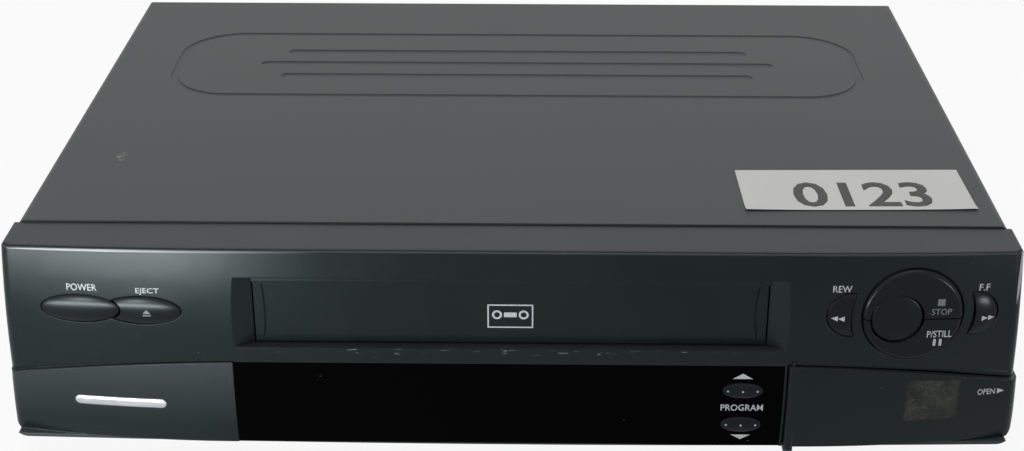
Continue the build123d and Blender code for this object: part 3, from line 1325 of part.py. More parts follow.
# ------------------------------------------------------------------ boards
def main_board():
    """Signal and power board: a strip down each side joined across the back."""
    half = BAY_OUT - BOARD_SIDE
    front = FASCIA_BACK + FRAME_WALL + BOARD_FRONT
    back = REAR_FACE - REAR_SHEET - BOARD_BACK
    board = block(-half, half, front, back, MAIN_BOARD_Z, MAIN_BOARD_Z + BOARD)
    return board - block(-BAY_IN, BAY_IN, front - PAST, DECK_REAR + BOARD_DECK, 0, HEIGHT)


def bay_x(side, part):
    """X of a place in the left (-1) or right (1) bay; part runs from its inner edge to the wall."""
    return side * (BAY_IN + part * (BAY_OUT - BAY_IN))


def board_capacitors():
    """Electrolytic capacitors standing on the main board."""
    top = MAIN_BOARD_Z + BOARD
    cans = []
    for side, part, y, r, high in CAPACITORS:
        can = rod_z(bay_x(side, part), y, top, top + high, r)
        cans.append(chamfer(can.edges().sort_by(Axis.Z)[-1], CAPACITOR_EDGE))
    return Compound(children=cans)


def board_chips():
    """Flat integrated circuits on the main board."""
    top = MAIN_BOARD_Z + BOARD
    chips = []
    for side, part, y, wide, long in CHIPS:
        chip = block(-wide / 2, wide / 2, -long / 2, long / 2, 0, CHIP_HIGH)
        chips.append(Pos(bay_x(side, part), y, top) * chip)
    return Compound(children=chips)


def power_transformer():
    """Switching transformer: ferrite frame round a taped winding."""
    long, wide, low, high = FERRITE
    leg = FERRITE_LEG
    core = block(-long, long, -wide, wide, low, high)
    core -= block(leg - long, long - leg, -wide - PAST, wide + PAST, low + leg, high - leg)
    base_long, base_wide, base_high = TRANSFORMER_BASE
    base = block(-base_long, base_long, -base_wide, base_wide, 0, base_high)
    turns_long, turns_wide, turns_high = WINDING
    winding = block(-turns_long, turns_long, -turns_wide, turns_wide, base_high, base_high + turns_high)
    winding = fillet(winding.edges().filter_by(Axis.Z), WINDING_R)
    place = Pos(bay_x(-1, TRANSFORMER_SHARE), TRANSFORMER_Y, MAIN_BOARD_Z + BOARD)
    return place * (core + winding + base)


def heat_sink():
    """Finned aluminium heat sink beside the transformer."""
    front, back = SINK_Y
    sink = block(0, SINK_SHEET, front, back, 0, SINK_HIGH)
    long, thick, foot = SINK_FIN
    for step in range(SINK_FINS):
        fin = front + SINK_FIN_START + step * SINK_FIN_PITCH
        sink += block(-long, SINK_SHEET / 4, fin, fin + thick, foot, SINK_HIGH)
    return Pos(bay_x(-1, SINK_SHARE), 0, MAIN_BOARD_Z + BOARD) * sink


def key_boards():
    """Front key boards, left and right of the cassette bay."""
    back = KEY_BOARD_Y + BOARD
    half = face_half(OVAL_Z) - FASCIA_WALL - KEY_BOARD_SIDE
    left = block(-half, -BAY_IN, KEY_BOARD_Y, back, OVAL_Z - OVAL_BOARD[0], OVAL_Z + OVAL_BOARD[1])
    right = block(BAY_IN, half, KEY_BOARD_Y, back, RING_Z - RING_BOARD[0], RING_Z + RING_BOARD[1])
    return Compound(children=[left, right])


def display_board():
    """Board behind the window that carries the display tube and the programme keys' switches."""
    half = FLAT_HALF - DISPLAY_BOARD_SIDE
    low = LIP_TOP + DISPLAY_BOARD_FOOT
    return block(-half, half, KEY_BOARD_Y, KEY_BOARD_Y + BOARD, low, SEAM_TOP - DISPLAY_BOARD_HEAD)


def display_tube():
    """Flat vacuum display tube with its sealed glass edge and evacuation tip."""
    back = KEY_BOARD_Y - TUBE_BACK
    front = back - TUBE_DEEP
    tube = block(TUBE_LEFT, TUBE_RIGHT, front, back, TUBE_FOOT, TUBE_HEAD)
    tube = chamfer(tube.edges().filter_by(Axis.Y), TUBE_EDGE)
    middle = ((front + back) / 2, (TUBE_FOOT + TUBE_HEAD) / 2)
    return tube + rod_x(*middle, TUBE_RIGHT, TUBE_RIGHT + TUBE_TIP_LONG, TUBE_TIP_R)


def switch_spots():
    """Each button's stem centre, in X and Z, at the front boards."""
    spots = []
    for place, spot in (
        (OVAL_PLACE, (-OVAL_OFF, 0)), (OVAL_PLACE, (OVAL_OFF, 0)),
        (RING_PLACE, STOP_STEM), (RING_PLACE, PAUSE_STEM), (RING_PLACE, PLAY_SHIFT),
        (REWIND_PLACE, REWIND_STEM), (FORWARD_PLACE, FORWARD_STEM),
        (station(PROGRAM_X, PROGRAM_UP_Z, 0), (0, 0)), (station(PROGRAM_X, PROGRAM_DOWN_Z, 0), (0, 0)),
    ):
        end = (place * Pos(spot[0], stem_reach(place, spot, KEY_BOARD_Y - SWITCH_HIGH), spot[1])).position
        spots.append((end.X, end.Z))
    return spots


def tact_switches():
    """One square push switch behind each front button."""
    half = SWITCH_SIDE / 2
    switches = []
    for x, z in switch_spots():
        tip = KEY_BOARD_Y - SWITCH_HIGH
        body = block(x - half, x + half, tip + SWITCH_NUB, KEY_BOARD_Y, z - half, z + half)
        switches.append(body + rod_y(x, z, tip, KEY_BOARD_Y, SWITCH_NUB_R))
    return Compound(children=switches)


def front_av_sockets():
    """Three phono sockets on a small board in the bay behind the door."""
    back = SOCKET_BOARD_Y
    side, over = JACK_BOARD
    board = block(RECORD_X - side, JACK_X[-1] + side, back, back + BOARD, JACK_Z - over, JACK_Z + over)
    for jack in JACK_X:
        tip = face_y(jack, JACK_Z, BAY_DEPTH) - JACK_PROUD
        board += rod_y(jack, JACK_Z, tip, back + BOARD / 2, JACK_R)
        board -= rod_y(jack, JACK_Z, tip - PAST, back - 2 * PAST, JACK_BORE_R)
    half = SWITCH_SIDE / 2
    tip = back - SWITCH_HIGH
    switch = block(-half, half, tip + SWITCH_NUB, back, -half, half)
    switch += rod_y(0, 0, tip, back, SWITCH_NUB_R)
    return board + Pos(RECORD_X, 0, RECORD_Z) * switch


def ribbon_cable():
    """Flat cable from the main board up to the right-hand key board."""
    start = KEY_BOARD_Y + BOARD
    low, high = RIBBON_Z
    sheet = RIBBON_SHEET
    lift = block(*RIBBON_X, start, start + sheet, low, high)
    run = block(*RIBBON_X, start, RIBBON_BACK, low, low + sheet)
    fall = block(*RIBBON_X, RIBBON_BACK - sheet, RIBBON_BACK, MAIN_BOARD_Z + BOARD, low + sheet)
    return lift + run + fall


# ================================================================== tape deck
def guide_track(side):
    """Slot outline in the deck for one loading guide."""
    start = (side * GUIDE_START[0], GUIDE_START[1])
    return slot_between(start, (side * GUIDE_END[0], GUIDE_END[1]), GUIDE_SLOT)


def deck_chassis():
    """Pressed steel deck with its guide tracks, drum hole, weight holes, flanges and posts."""
    low = DECK_TOP - DECK_SHEET
    deck = block(-DECK_HALF, DECK_HALF, DECK_FRONT, DECK_REAR, low, DECK_TOP)
    flange = DECK_HALF - DECK_FLANGE_IN
    for y0, y1 in ((DECK_FRONT, DECK_FRONT + DECK_SHEET), (DECK_REAR - DECK_SHEET, DECK_REAR)):
        deck += block(-flange, flange, y0, y1, DECK_TOP - DECK_FLANGE, DECK_TOP)
    holes = guide_track(-1) + guide_track(1)
    holes += Pos(0, DRUM_Y) * Circle(DRUM_HOLE_R)
    holes += Pos(*CAPSTAN) * Circle(CAPSTAN_HOLE_R)
    for x, y, long, wide in DECK_WINDOWS:
        holes += Pos(x, y) * RectangleRounded(long, wide, DECK_WINDOW_CORNER)
    for x, y in DECK_SCREWS:
        holes += Pos(x, y) * Circle(DECK_SCREW_R + SLIP)
    deck -= prism_z(holes, low - PAST, DECK_TOP + PAST)
    for x in (-REEL_SPREAD / 2, REEL_SPREAD / 2):
        deck += rod_z(x, REEL_Y, low, DECK_TOP + REEL_SEAT, REEL_SEAT_R)
        deck += rod_z(x, REEL_Y, low, DECK_TOP + REEL_POST, REEL_POST_R)
    for spot, high in (
        (IDLER_PIVOT, IDLER_POST), (PINCH_PIVOT, PINCH_POST),
        (CAM_CENTRE, CAM_POST), (TENSION_PIVOT, TENSION_POST),
    ):
        deck += rod_z(*spot, low, DECK_TOP + high, PIVOT_R)
    return deck


def deck_screws():
    """Four screws that hold the deck to the frame's posts."""
    radius, high = DECK_SCREW_HEAD
    screws = []
    for x, y in DECK_SCREWS:
        shank = rod_z(x, y, DECK_TOP - DECK_SCREW_LONG, DECK_TOP + high / 2, DECK_SCREW_R - FIT)
        screws.append(rod_z(x, y, DECK_TOP, DECK_TOP + high, radius) + shank)
    return Compound(children=screws)


DRUM_PLACE = Location((0, DRUM_Y, DRUM_BASE_Z), (0, DRUM_TILT, 0))


def lower_drum():
    """Fixed lower drum with its tape guide step, and the base that tilts it."""
    high = LOWER_DRUM_HIGH
    step_high, step_out = LOWER_DRUM_STEP
    drum = rod_z(0, 0, 0, high, DRUM_R)
    drum += rod_z(0, 0, 0, step_high, DRUM_R + step_out)
    drum -= rod_z(0, 0, high - LOWER_DRUM_POCKET, high + PAST, DRUM_R - LOWER_DRUM_WALL)
    drum += rod_z(0, 0, 0, high - PAST, LOWER_DRUM_HUB_R)
    drum -= rod_z(0, 0, -2 * PAST, high + PAST, DRUM_SHAFT_R + FIT)
    half, front, back = DRUM_BASE
    base = block(-half, half, DRUM_Y - front, DRUM_Y + back, DECK_TOP, DRUM_BASE_Z - DRUM_BASE_GAP)
    base -= DRUM_PLACE * rod_z(0, 0, -DRUM_BASE_Z, 0, DRUM_FOOT_BORE_R)
    drop = DRUM_BASE_Z - DECK_TOP
    foot = rod_z(0, 0, -drop, PAST, DRUM_FOOT_R) - rod_z(0, 0, -2 * drop, 2 * PAST, DRUM_FOOT_BORE_R)
    foot = DRUM_PLACE * foot & block(-DECK_HALF, DECK_HALF, 0, REAR_Y, DECK_TOP, HEIGHT)
    return DRUM_PLACE * drum + base + foot


def upper_drum():
    """Spinning upper drum with its shaft, head windows and two video heads."""
    start = LOWER_DRUM_HIGH + DRUM_SPLIT
    top = start + UPPER_DRUM_HIGH
    drum = rod_z(0, 0, start, top, DRUM_R)
    drum = chamfer(drum.edges().sort_by(Axis.Z)[-1], UPPER_DRUM_EDGE)
    drum -= rod_z(0, 0, top - UPPER_DRUM_SUNK, top + PAST, DRUM_R - UPPER_DRUM_RIM)
    deep, wide, tall = HEAD_WINDOW
    tip_deep, tip_wide, tip_tall = HEAD_TIP
    for turn in (0, 180):
        window = block(DRUM_R - deep, DRUM_R + PAST, -wide, wide, start - PAST, start + tall)
        head = block(DRUM_R - tip_deep, DRUM_R + HEAD_PROUD, -tip_wide, tip_wide, start, start + tip_tall)
        drum = drum - Rot(0, 0, turn) * window + Rot(0, 0, turn) * head
    drum += rod_z(0, 0, top - UPPER_DRUM_SUNK - SLIP, top + PAST, UPPER_DRUM_HUB_R)
    count, pitch_r, radius = UPPER_DRUM_HOLES
    for step in range(count):
        hole = rod_z(pitch_r, 0, start + UPPER_DRUM_SUNK, top + PAST, radius)
        drum -= Rot(0, 0, step * 360 / count) * hole
    return DRUM_PLACE * (drum + rod_z(0, 0, PAST, start + PAST, DRUM_SHAFT_R))


def capstan_motor():
    """Fixed stator under the deck and the bearing tube that stands up through it."""
    x, y = CAPSTAN
    low = DECK_TOP - DECK_SHEET
    collar_r, collar = CAPSTAN_COLLAR
    stator = rod_z(x, y, low - STATOR_HIGH, low, FLYWHEEL_R - STATOR_IN)
    stator += rod_z(x, y, low - PAST, DECK_TOP + CAPSTAN_TUBE, CAPSTAN_TUBE_R)
    stator += rod_z(x, y, DECK_TOP, DECK_TOP + collar, collar_r)
    return stator - rod_z(x, y, 0, HEIGHT, CAPSTAN_R + FIT)


def capstan_rotor():
    """Flywheel rotor with its magnet step, and the capstan shaft."""
    x, y = CAPSTAN
    top = DECK_TOP - DECK_SHEET - FLYWHEEL_DROP
    low = top - FLYWHEEL_HIGH
    rotor = rod_z(x, y, low, top, FLYWHEEL_R)
    rotor = chamfer(rotor.edges().sort_by(Axis.Z)[0], FLYWHEEL_EDGE)
    dish = rod_z(x, y, low - PAST, low + FLYWHEEL_DISH, FLYWHEEL_R - FLYWHEEL_RIM)
    rotor -= dish - rod_z(x, y, low - PAST, low + FLYWHEEL_DISH, FLYWHEEL_HUB_R)
    return rotor + rod_z(x, y, low - CAPSTAN_FOOT, DECK_TOP + CAPSTAN_HIGH, CAPSTAN_R)


def pinch_arm():
    """Arm that swings the pinch roller against the capstan."""
    low = DECK_TOP + PINCH_LIFT
    boss_r, boss = PINCH_BOSS
    wide, sheet = PINCH_ARM
    arm = rod_z(*PINCH_PIVOT, low, low + boss, boss_r)
    arm += prism_z(slot_between(PINCH_PIVOT, PINCH_REST, wide), low, low + sheet)
    arm += rod_z(*PINCH_REST, low, low + PINCH_PIN, PIN_R)
    return arm - rod_z(*PINCH_PIVOT, 0, HEIGHT, PIVOT_R + FIT)


def pinch_roller():
    """Rubber roller on the arm's pin."""
    low = DECK_TOP + PINCH_LIFT + ROLLER_LIFT
    roller = rod_z(*PINCH_REST, low, low + ROLLER_HIGH, PINCH_R)
    roller = chamfer(roller.edges().filter_by(GeomType.CIRCLE).group_by(Axis.Z)[-1], ROLLER_EDGE)
    return roller - rod_z(*PINCH_REST, 0, HEIGHT, PIN_R + FIT)


def reel_table(x):
    """Reel table: broad rim, hub and three splines that grip the cassette's reel."""
    low = DECK_TOP + REEL_LIFT
    floor = low + REEL_FLOOR
    high = low + REEL_RIM_HIGH
    reel = rod_z(x, REEL_Y, low, high, REEL_R)
    dish = rod_z(x, REEL_Y, floor, high + PAST, REEL_R - REEL_RIM)
    reel -= dish - rod_z(x, REEL_Y, floor, high + PAST, REEL_BOSS_R)
    reel += rod_z(x, REEL_Y, low, low + REEL_HUB_HIGH, REEL_HUB_R)
    reel = chamfer(reel.edges().filter_by(GeomType.CIRCLE).group_by(Axis.Z)[-1], REEL_HUB_EDGE)
    inner, outer, half = REEL_SPLINE
    foot, head = REEL_SPLINE_Z
    for step in range(REEL_SPLINES):
        spline = block(inner, outer, -half, half, low + foot, low + head)
        reel += Pos(x, REEL_Y, 0) * Rot(0, 0, step * 360 / REEL_SPLINES) * spline
    return reel - rod_z(x, REEL_Y, 0, HEIGHT, REEL_POST_R + FIT)


def idler_arm():
    """Swinging arm that carries the idler wheel between the reels."""
    low = DECK_TOP + IDLER_RUN
    boss_r, boss = IDLER_BOSS
    wide, sheet = IDLER_ARM
    arm = prism_z(slot_between(IDLER_PIVOT, IDLER_CENTRE, wide), low, low + sheet)
    arm += rod_z(*IDLER_PIVOT, low, low + boss, boss_r)
    arm += rod_z(*IDLER_CENTRE, low, low + IDLER_PIN, PIN_R)
    return arm - rod_z(*IDLER_PIVOT, 0, HEIGHT, PIVOT_R + FIT)


def idler_wheel():
    """Rubber tyred idler wheel."""
    low = DECK_TOP + IDLER_RUN + IDLER_ARM[1] + IDLER_WHEEL_RUN
    high = low + IDLER_WHEEL_HIGH
    floor = high - IDLER_DISH
    wheel = rod_z(*IDLER_CENTRE, low, high, IDLER_R)
    dish = rod_z(*IDLER_CENTRE, floor, high + PAST, IDLER_R - IDLER_RIM)
    wheel -= dish - rod_z(*IDLER_CENTRE, floor, high + PAST, IDLER_HUB_R)
    return wheel - rod_z(*IDLER_CENTRE, 0, HEIGHT, PIN_R + FIT)


def loading_guide(side):
    """Sliding shoe with its tall guide roller and slanted pole."""
    x, y = side * GUIDE_START[0], GUIDE_START[1]
    low = DECK_TOP - DECK_SHEET
    shoe_r, shoe_high = GUIDE_SHOE
    keeper_r, keeper_high = GUIDE_KEEPER
    pin_r, pin_high = GUIDE_PIN
    keeper_top = low - GUIDE_KEEPER_RUN
    shoe_foot = DECK_TOP + GUIDE_RUN
    shoe = rod_z(x, y, keeper_top - PAST, shoe_foot, GUIDE_NECK_R)
    shoe += rod_z(x, y, shoe_foot, shoe_foot + shoe_high, shoe_r)
    shoe += rod_z(x, y, keeper_top - keeper_high, keeper_top, keeper_r)
    shoe += rod_z(x, y, shoe_foot, DECK_TOP + pin_high, pin_r)
    a, b, c, d = (DECK_TOP + z for z in GUIDE_ROLLER_Z)
    roller = rod_z(x, y, b, c, GUIDE_ROLLER_R)
    roller += rod_z(x, y, a, b, GUIDE_FLANGE_R) + rod_z(x, y, c, d, GUIDE_FLANGE_R)
    return shoe + roller


def square_head(spot, half, low, high, corner):
    """Upright head with rounded corners."""
    x, y = spot
    head = block(x - half, x + half, y - half, y + half, low, high)
    return fillet(head.edges().filter_by(Axis.Z), corner)


def head_stack():
    """Audio and control head on its levelling plate."""
    x, y = AUDIO_HEAD
    half, front, back, high = AUDIO_PLATE
    plate = block(x - half, x + half, y - front, y + back, DECK_TOP, DECK_TOP + high)
    top = DECK_TOP + AUDIO_HEAD_HIGH
    return plate + square_head(AUDIO_HEAD, AUDIO_HEAD_HALF, DECK_TOP + high, top, HEAD_CORNER)


def erase_head():
    """Full erase head on the supply side."""
    return square_head(ERASE_HEAD, ERASE_HEAD_HALF, DECK_TOP, DECK_TOP + ERASE_HEAD_HIGH, HEAD_CORNER)


def tension_arm():
    """Back tension arm with its upright pin."""
    low = DECK_TOP + TENSION_RUN
    boss_r, boss = TENSION_BOSS
    wide, sheet = TENSION_ARM
    arm = prism_z(slot_between(TENSION_PIVOT, TENSION_PIN, wide), low, low + sheet)
    arm += rod_z(*TENSION_PIVOT, low, low + boss, boss_r)
    arm += rod_z(*TENSION_PIN, low, DECK_TOP + TENSION_PIN_HIGH, PIN_R)
    return arm - rod_z(*TENSION_PIVOT, 0, HEIGHT, PIVOT_R + FIT)


def cam_gear():
    """Mode gear with teeth round its rim and a hub."""
    low = DECK_TOP + WORM_LIFT - CAM_FACE / 2
    x, y = CAM_CENTRE
    root_r = CAM_R - CAM_TOOTH
    gear = rod_z(x, y, low, low + CAM_FACE, root_r)
    rim = rod_z(x, y, low + CAM_FLOOR, low + CAM_FACE + PAST, root_r - CAM_RIM)
    gear -= rim - rod_z(x, y, 0, HEIGHT, CAM_HUB_R)
    pitch = math.radians(360 / CAM_TEETH)
    half_root = pitch * CAM_TOOTH_ROOT
    half_tip = pitch * CAM_TOOTH_TIP
    tooth = Sketch()
    for step in range(CAM_TEETH):
        mid = pitch * step
        points = []
        for radius, angle in (
            (root_r - CAM_TOOTH / 4, mid - half_root), (CAM_R, mid - half_tip),
            (CAM_R, mid + half_tip), (root_r - CAM_TOOTH / 4, mid + half_root),
        ):
            points.append((radius * math.cos(angle), radius * math.sin(angle)))
        tooth += polygon(*points)
    gear += Pos(x, y, 0) * prism_z(tooth, low, low + CAM_FACE)
    gear += rod_z(x, y, DECK_TOP + CAM_HUB_RUN, low + CAM_HUB, CAM_HUB_R)
    return gear - rod_z(x, y, 0, HEIGHT, PIVOT_R + FIT)


def loading_motor():
    """Small motor and its end bracket beside the mode gear."""
    front = CAM_CENTRE[1] + MOTOR_BACK
    back = front + MOTOR_LONG
    motor = rod_y(WORM_X, DECK_TOP + MOTOR_LIFT, front, back, MOTOR_R)
    motor &= block(-COVER_HALF, COVER_HALF, 0, REAR_Y, DECK_TOP + MOTOR_FLAT, HEIGHT)
    left, right, inward, high = MOTOR_BRACKET
    motor += block(WORM_X - left, WORM_X + right, front + inward, back - inward, DECK_TOP, DECK_TOP + high)
    return motor - rod_y(WORM_X, DECK_TOP + WORM_LIFT, front - PAST, front + MOTOR_BORE, WORM_SHAFT_R + SLIP)


def loading_worm():
    """Worm on the motor's shaft; its thread is left plain."""
    z = DECK_TOP + WORM_LIFT
    front = CAM_CENTRE[1] - WORM_BEFORE
    back = front + WORM_LONG
    shaft = rod_y(WORM_X, z, back - PAST, CAM_CENTRE[1] + WORM_SHAFT, WORM_SHAFT_R)
    return rod_y(WORM_X, z, front, back, WORM_R) + shaft


# ------------------------------------------------------------------ cassette lift
def cassette_holder():
    """Sheet steel cassette tray: side ledges, walls, roof, front bar and four lift pins."""
    back = HOLDER_FRONT + HOLDER_DEPTH
    low = HOLDER_FLOOR - HOLDER_SHEET
    roof = HOLDER_FLOOR + HOLDER_ROOM
    bar = HOLDER_FRONT + HOLDER_BAR
    roof_end = HOLDER_FRONT + HOLDER_ROOF_END
    tray = block(-HOLDER_OUT, HOLDER_OUT, HOLDER_FRONT, bar, low, HOLDER_FLOOR)
    tray += block(-HOLDER_OUT, HOLDER_OUT, bar, roof_end, roof, roof + HOLDER_SHEET)
    window = prism_z(RectangleRounded(*HOLDER_WINDOW), roof - PAST, roof + HOLDER_SHEET + PAST)
    tray -= Pos(0, (bar + roof_end) / 2, 0) * window
    for side in (-1, 1):
        a, b = sorted((side * HOLDER_IN, side * HOLDER_OUT))
        tray += block(a, b, HOLDER_FRONT, back, low, roof + HOLDER_SHEET)
        a, b = sorted((side * (HOLDER_OUT - HOLDER_LEDGE), side * HOLDER_OUT))
        tray += block(a, b, HOLDER_FRONT, HOLDER_FRONT + HOLDER_LEDGE_LONG, low, HOLDER_FLOOR)
        a, b = sorted((side * (HOLDER_OUT - HOLDER_SHEET / 2), side * (SLIDER_OUT + LIFT_PIN_END)))
        for y in LIFT_PIN_Y:
            tray += rod_x(y, LIFT_PIN_Z, a, b, LIFT_PIN_R)
    return tray


def lift_bracket(side):
    """Fixed side bracket with two L-shaped slots and rails for the slider."""
    front = HOLDER_FRONT - HOLDER_TRAVEL + BRACKET_FRONT_GAP
    back = HOLDER_FRONT + HOLDER_DEPTH
    wide = 2 * (LIFT_PIN_R + SLIP)
    plate = Pos((front + back) / 2, (DECK_TOP + LIFT_TOP) / 2) * Rectangle(back - front, LIFT_TOP - DECK_TOP)
    for y in LIFT_PIN_Y:
        plate -= slot_between((y - HOLDER_TRAVEL, LIFT_PIN_Z), (y, LIFT_PIN_Z), wide)
        plate -= slot_between((y, LIFT_PIN_Z), (y, LIFT_PIN_Z - HOLDER_DROP), wide)
    y, z, long, high = BRACKET_WINDOW
    plate -= Pos(y, z) * RectangleRounded(long, high, PLATE_CORNER)
    a, b = sorted((side * BRACKET_IN, side * BRACKET_OUT))
    bracket = prism_x(plate, a, b)
    a, b = sorted((side * BRACKET_IN, side * (SLIDER_OUT + BRACKET_LEDGE)))
    bracket += block(a, b, front, back, DECK_TOP, DECK_TOP + BRACKET_SHEET)
    rail = LIFT_PIN_Z + SLIDER_HEAD + SLIDER_RUN
    inward, outward = BRACKET_RAIL
    return bracket + block(a, b, front + inward, back - outward, rail, rail + BRACKET_SHEET)


def lift_slider(side):
    """Sliding plate outside a bracket; its upright slots carry the holder's pins."""
    low = DECK_TOP + BRACKET_SHEET + SLIDER_RUN
    high = LIFT_PIN_Z + SLIDER_HEAD
    front = LIFT_PIN_Y[0] - SLIDER_END
    back = LIFT_PIN_Y[1] + SLIDER_END
    middle = Pos((front + back) / 2, (low + high) / 2)
    plate = middle * Rectangle(back - front, high - low)
    for y in LIFT_PIN_Y:
        plate -= slot_between((y, LIFT_PIN_Z), (y, LIFT_PIN_Z - HOLDER_DROP), 2 * (LIFT_PIN_R + SLIP))
    plate -= middle * RectangleRounded(*SLIDER_WINDOW, PLATE_CORNER)
    a, b = sorted((side * SLIDER_IN, side * SLIDER_OUT))
    return prism_x(plate, a, b)


def lift_top_plate():
    """Bridge that ties the two lift brackets together above the cassette."""
    front, back = TOP_PLATE_Y
    top = LIFT_TOP + BRACKET_SHEET
    plate = block(-BRACKET_OUT, BRACKET_OUT, front, back, LIFT_TOP, top)
    window = prism_z(RectangleRounded(*TOP_PLATE_WINDOW, PLATE_CORNER), LIFT_TOP - PAST, top + PAST)
    return plate - Pos(0, (front + back) / 2, 0) * window


# ================================================================== nodes
def nodes():
    """Every sub-part by name."""
    return {
        "front_panel": front_panel(),
        "display_window": display_window(),
        "cassette_flap": cassette_flap(),
        "flap_spring": flap_spring(),
        "control_door": control_door(),
        "power_button": power_button(),
        "eject_button": eject_button(),
        "stop_button": stop_button(),
        "pause_button": pause_button(),
        "play_button": play_button(),
        "rewind_button": rewind_button(),
        "fast_forward_button": fast_forward_button(),
        "program_up_button": program_button(PROGRAM_UP_Z),
        "program_down_button": program_button(PROGRAM_DOWN_Z),
        "record_button": record_button(),
        "top_cover": top_cover(),
        "cover_screws": cover_screws(),
        "main_frame": main_frame(),
        "bottom_plate": bottom_plate(),
        "feet": feet(),
        "rear_panel": rear_panel(),
        "scart_sockets": scart_sockets(),
        "phono_sockets": phono_sockets(),
        "tuner_modulator": tuner_modulator(),
        "mains_inlet": mains_inlet(),
        "main_board": main_board(),
        "board_capacitors": board_capacitors(),
        "board_chips": board_chips(),
        "power_transformer": power_transformer(),
        "heat_sink": heat_sink(),
        "key_boards": key_boards(),
        "display_board": display_board(),
        "display_tube": display_tube(),
        "tact_switches": tact_switches(),
        "front_av_sockets": front_av_sockets(),
        "ribbon_cable": ribbon_cable(),
        "deck_chassis": deck_chassis(),
        "deck_screws": deck_screws(),
        "lower_drum": lower_drum(),
        "upper_drum": upper_drum(),
        "capstan_motor": capstan_motor(),
        "capstan_rotor": capstan_rotor(),
        "pinch_arm": pinch_arm(),
        "pinch_roller": pinch_roller(),
        "supply_reel": reel_table(-REEL_SPREAD / 2),
        "takeup_reel": reel_table(REEL_SPREAD / 2),
        "idler_arm": idler_arm(),
        "idler_wheel": idler_wheel(),
        "supply_guide": loading_guide(-1),
        "takeup_guide": loading_guide(1),
        "audio_control_head": head_stack(),
        "erase_head": erase_head(),
        "tension_arm": tension_arm(),
        "cam_gear": cam_gear(),
        "loading_motor": loading_motor(),
        "loading_worm": loading_worm(),
        "cassette_holder": cassette_holder(),
        "lift_brackets": Compound(children=[lift_bracket(-1), lift_bracket(1)]),
        "lift_sliders": Compound(children=[lift_slider(-1), lift_slider(1)]),
        "lift_top_plate": lift_top_plate(),
    }


for node, shape in nodes().items():
    export_step(shape, f"parts/{node}.step")
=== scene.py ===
"""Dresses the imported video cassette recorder: finishes, legends, screws, label, light and camera.

Lengths are in metres, except where a comment says mm. X runs to the right seen from the front, Y to
the back and Z up, with the origin under the middle of the feet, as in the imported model.
"""
import json
import math

import bmesh
import bpy
from bpy.props import (
    FloatProperty, FloatVectorProperty, IntProperty, PointerProperty, StringProperty)
from mathutils import Matrix, Vector
from mathutils.bvhtree import BVHTree


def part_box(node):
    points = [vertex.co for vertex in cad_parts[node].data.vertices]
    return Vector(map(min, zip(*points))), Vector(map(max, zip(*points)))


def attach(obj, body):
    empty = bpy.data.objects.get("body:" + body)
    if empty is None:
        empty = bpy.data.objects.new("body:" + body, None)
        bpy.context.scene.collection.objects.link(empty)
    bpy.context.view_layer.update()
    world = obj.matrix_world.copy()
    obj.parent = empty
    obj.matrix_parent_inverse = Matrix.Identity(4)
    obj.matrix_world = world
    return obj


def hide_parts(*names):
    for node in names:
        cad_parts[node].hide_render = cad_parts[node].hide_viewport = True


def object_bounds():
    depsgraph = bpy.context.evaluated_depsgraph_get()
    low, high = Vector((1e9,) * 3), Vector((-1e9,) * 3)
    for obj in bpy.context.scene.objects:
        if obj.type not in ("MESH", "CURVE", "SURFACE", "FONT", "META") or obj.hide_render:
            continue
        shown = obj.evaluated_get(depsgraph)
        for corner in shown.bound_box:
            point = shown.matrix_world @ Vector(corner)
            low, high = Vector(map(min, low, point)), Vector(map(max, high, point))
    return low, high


bl_info = {
    "name": "Video cassette recorder dressing",
    "version": (1, 0, 0),
    "blender": (4, 5, 0),
    "location": "3D View > Sidebar > Recorder",
    "description": "Finishes, legends and small parts of a video cassette recorder",
    "category": "Object",
}

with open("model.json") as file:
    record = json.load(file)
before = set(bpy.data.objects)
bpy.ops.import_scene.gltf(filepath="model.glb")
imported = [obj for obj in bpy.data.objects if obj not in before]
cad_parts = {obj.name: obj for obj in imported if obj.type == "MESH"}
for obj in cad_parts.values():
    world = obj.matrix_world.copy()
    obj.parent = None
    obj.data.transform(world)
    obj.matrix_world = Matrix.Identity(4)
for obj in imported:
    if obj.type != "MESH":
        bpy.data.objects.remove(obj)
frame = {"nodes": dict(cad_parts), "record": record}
CAD_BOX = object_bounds()
MM = 0.001


def linear(code):
    """An sRGB hex value as linear red, green, blue and an alpha of 1."""
    parts = [int(code[i:i + 2], 16) / 255 for i in (1, 3, 5)]
    return (*(c / 12.92 if c <= 0.04045 else ((c + 0.055) / 1.055) ** 2.4 for c in parts), 1.0)


# ------------------------------------------------------------------ settings
def colour_of(name, about, code):
    """A colour setting that starts at an sRGB hex value."""
    return FloatVectorProperty(
        name=name, description=about, subtype="COLOR", default=linear(code)[:3], min=0, max=1)


def length_of(name, about, millimetres, least=0.0):
    """A length setting, with its first and its least value in mm."""
    return FloatProperty(
        name=name, description=about, unit="LENGTH", default=millimetres * MM, min=least * MM)


def level_of(name, about, value):
    return FloatProperty(name=name, description=about, default=value, min=0)


def angle_of(name, about, degrees):
    return FloatProperty(
        name=name, description=about, subtype="ANGLE", default=math.radians(degrees))


class RecorderFinishes(bpy.types.PropertyGroup):
    """Colours of the recorder's own materials."""

    fascia: colour_of("Fascia", "Moulded front, flap and door", "#0d1312")
    keys: colour_of("Keys", "Caps of the push buttons", "#080b0b")
    cover: colour_of("Cover", "Paint of the steel cover and rear panel", "#3b3c3d")
    window: colour_of("Window", "Smoked display window", "#020202")
    dust: colour_of("Dust", "Dust on faces that look up", "#898c8f")


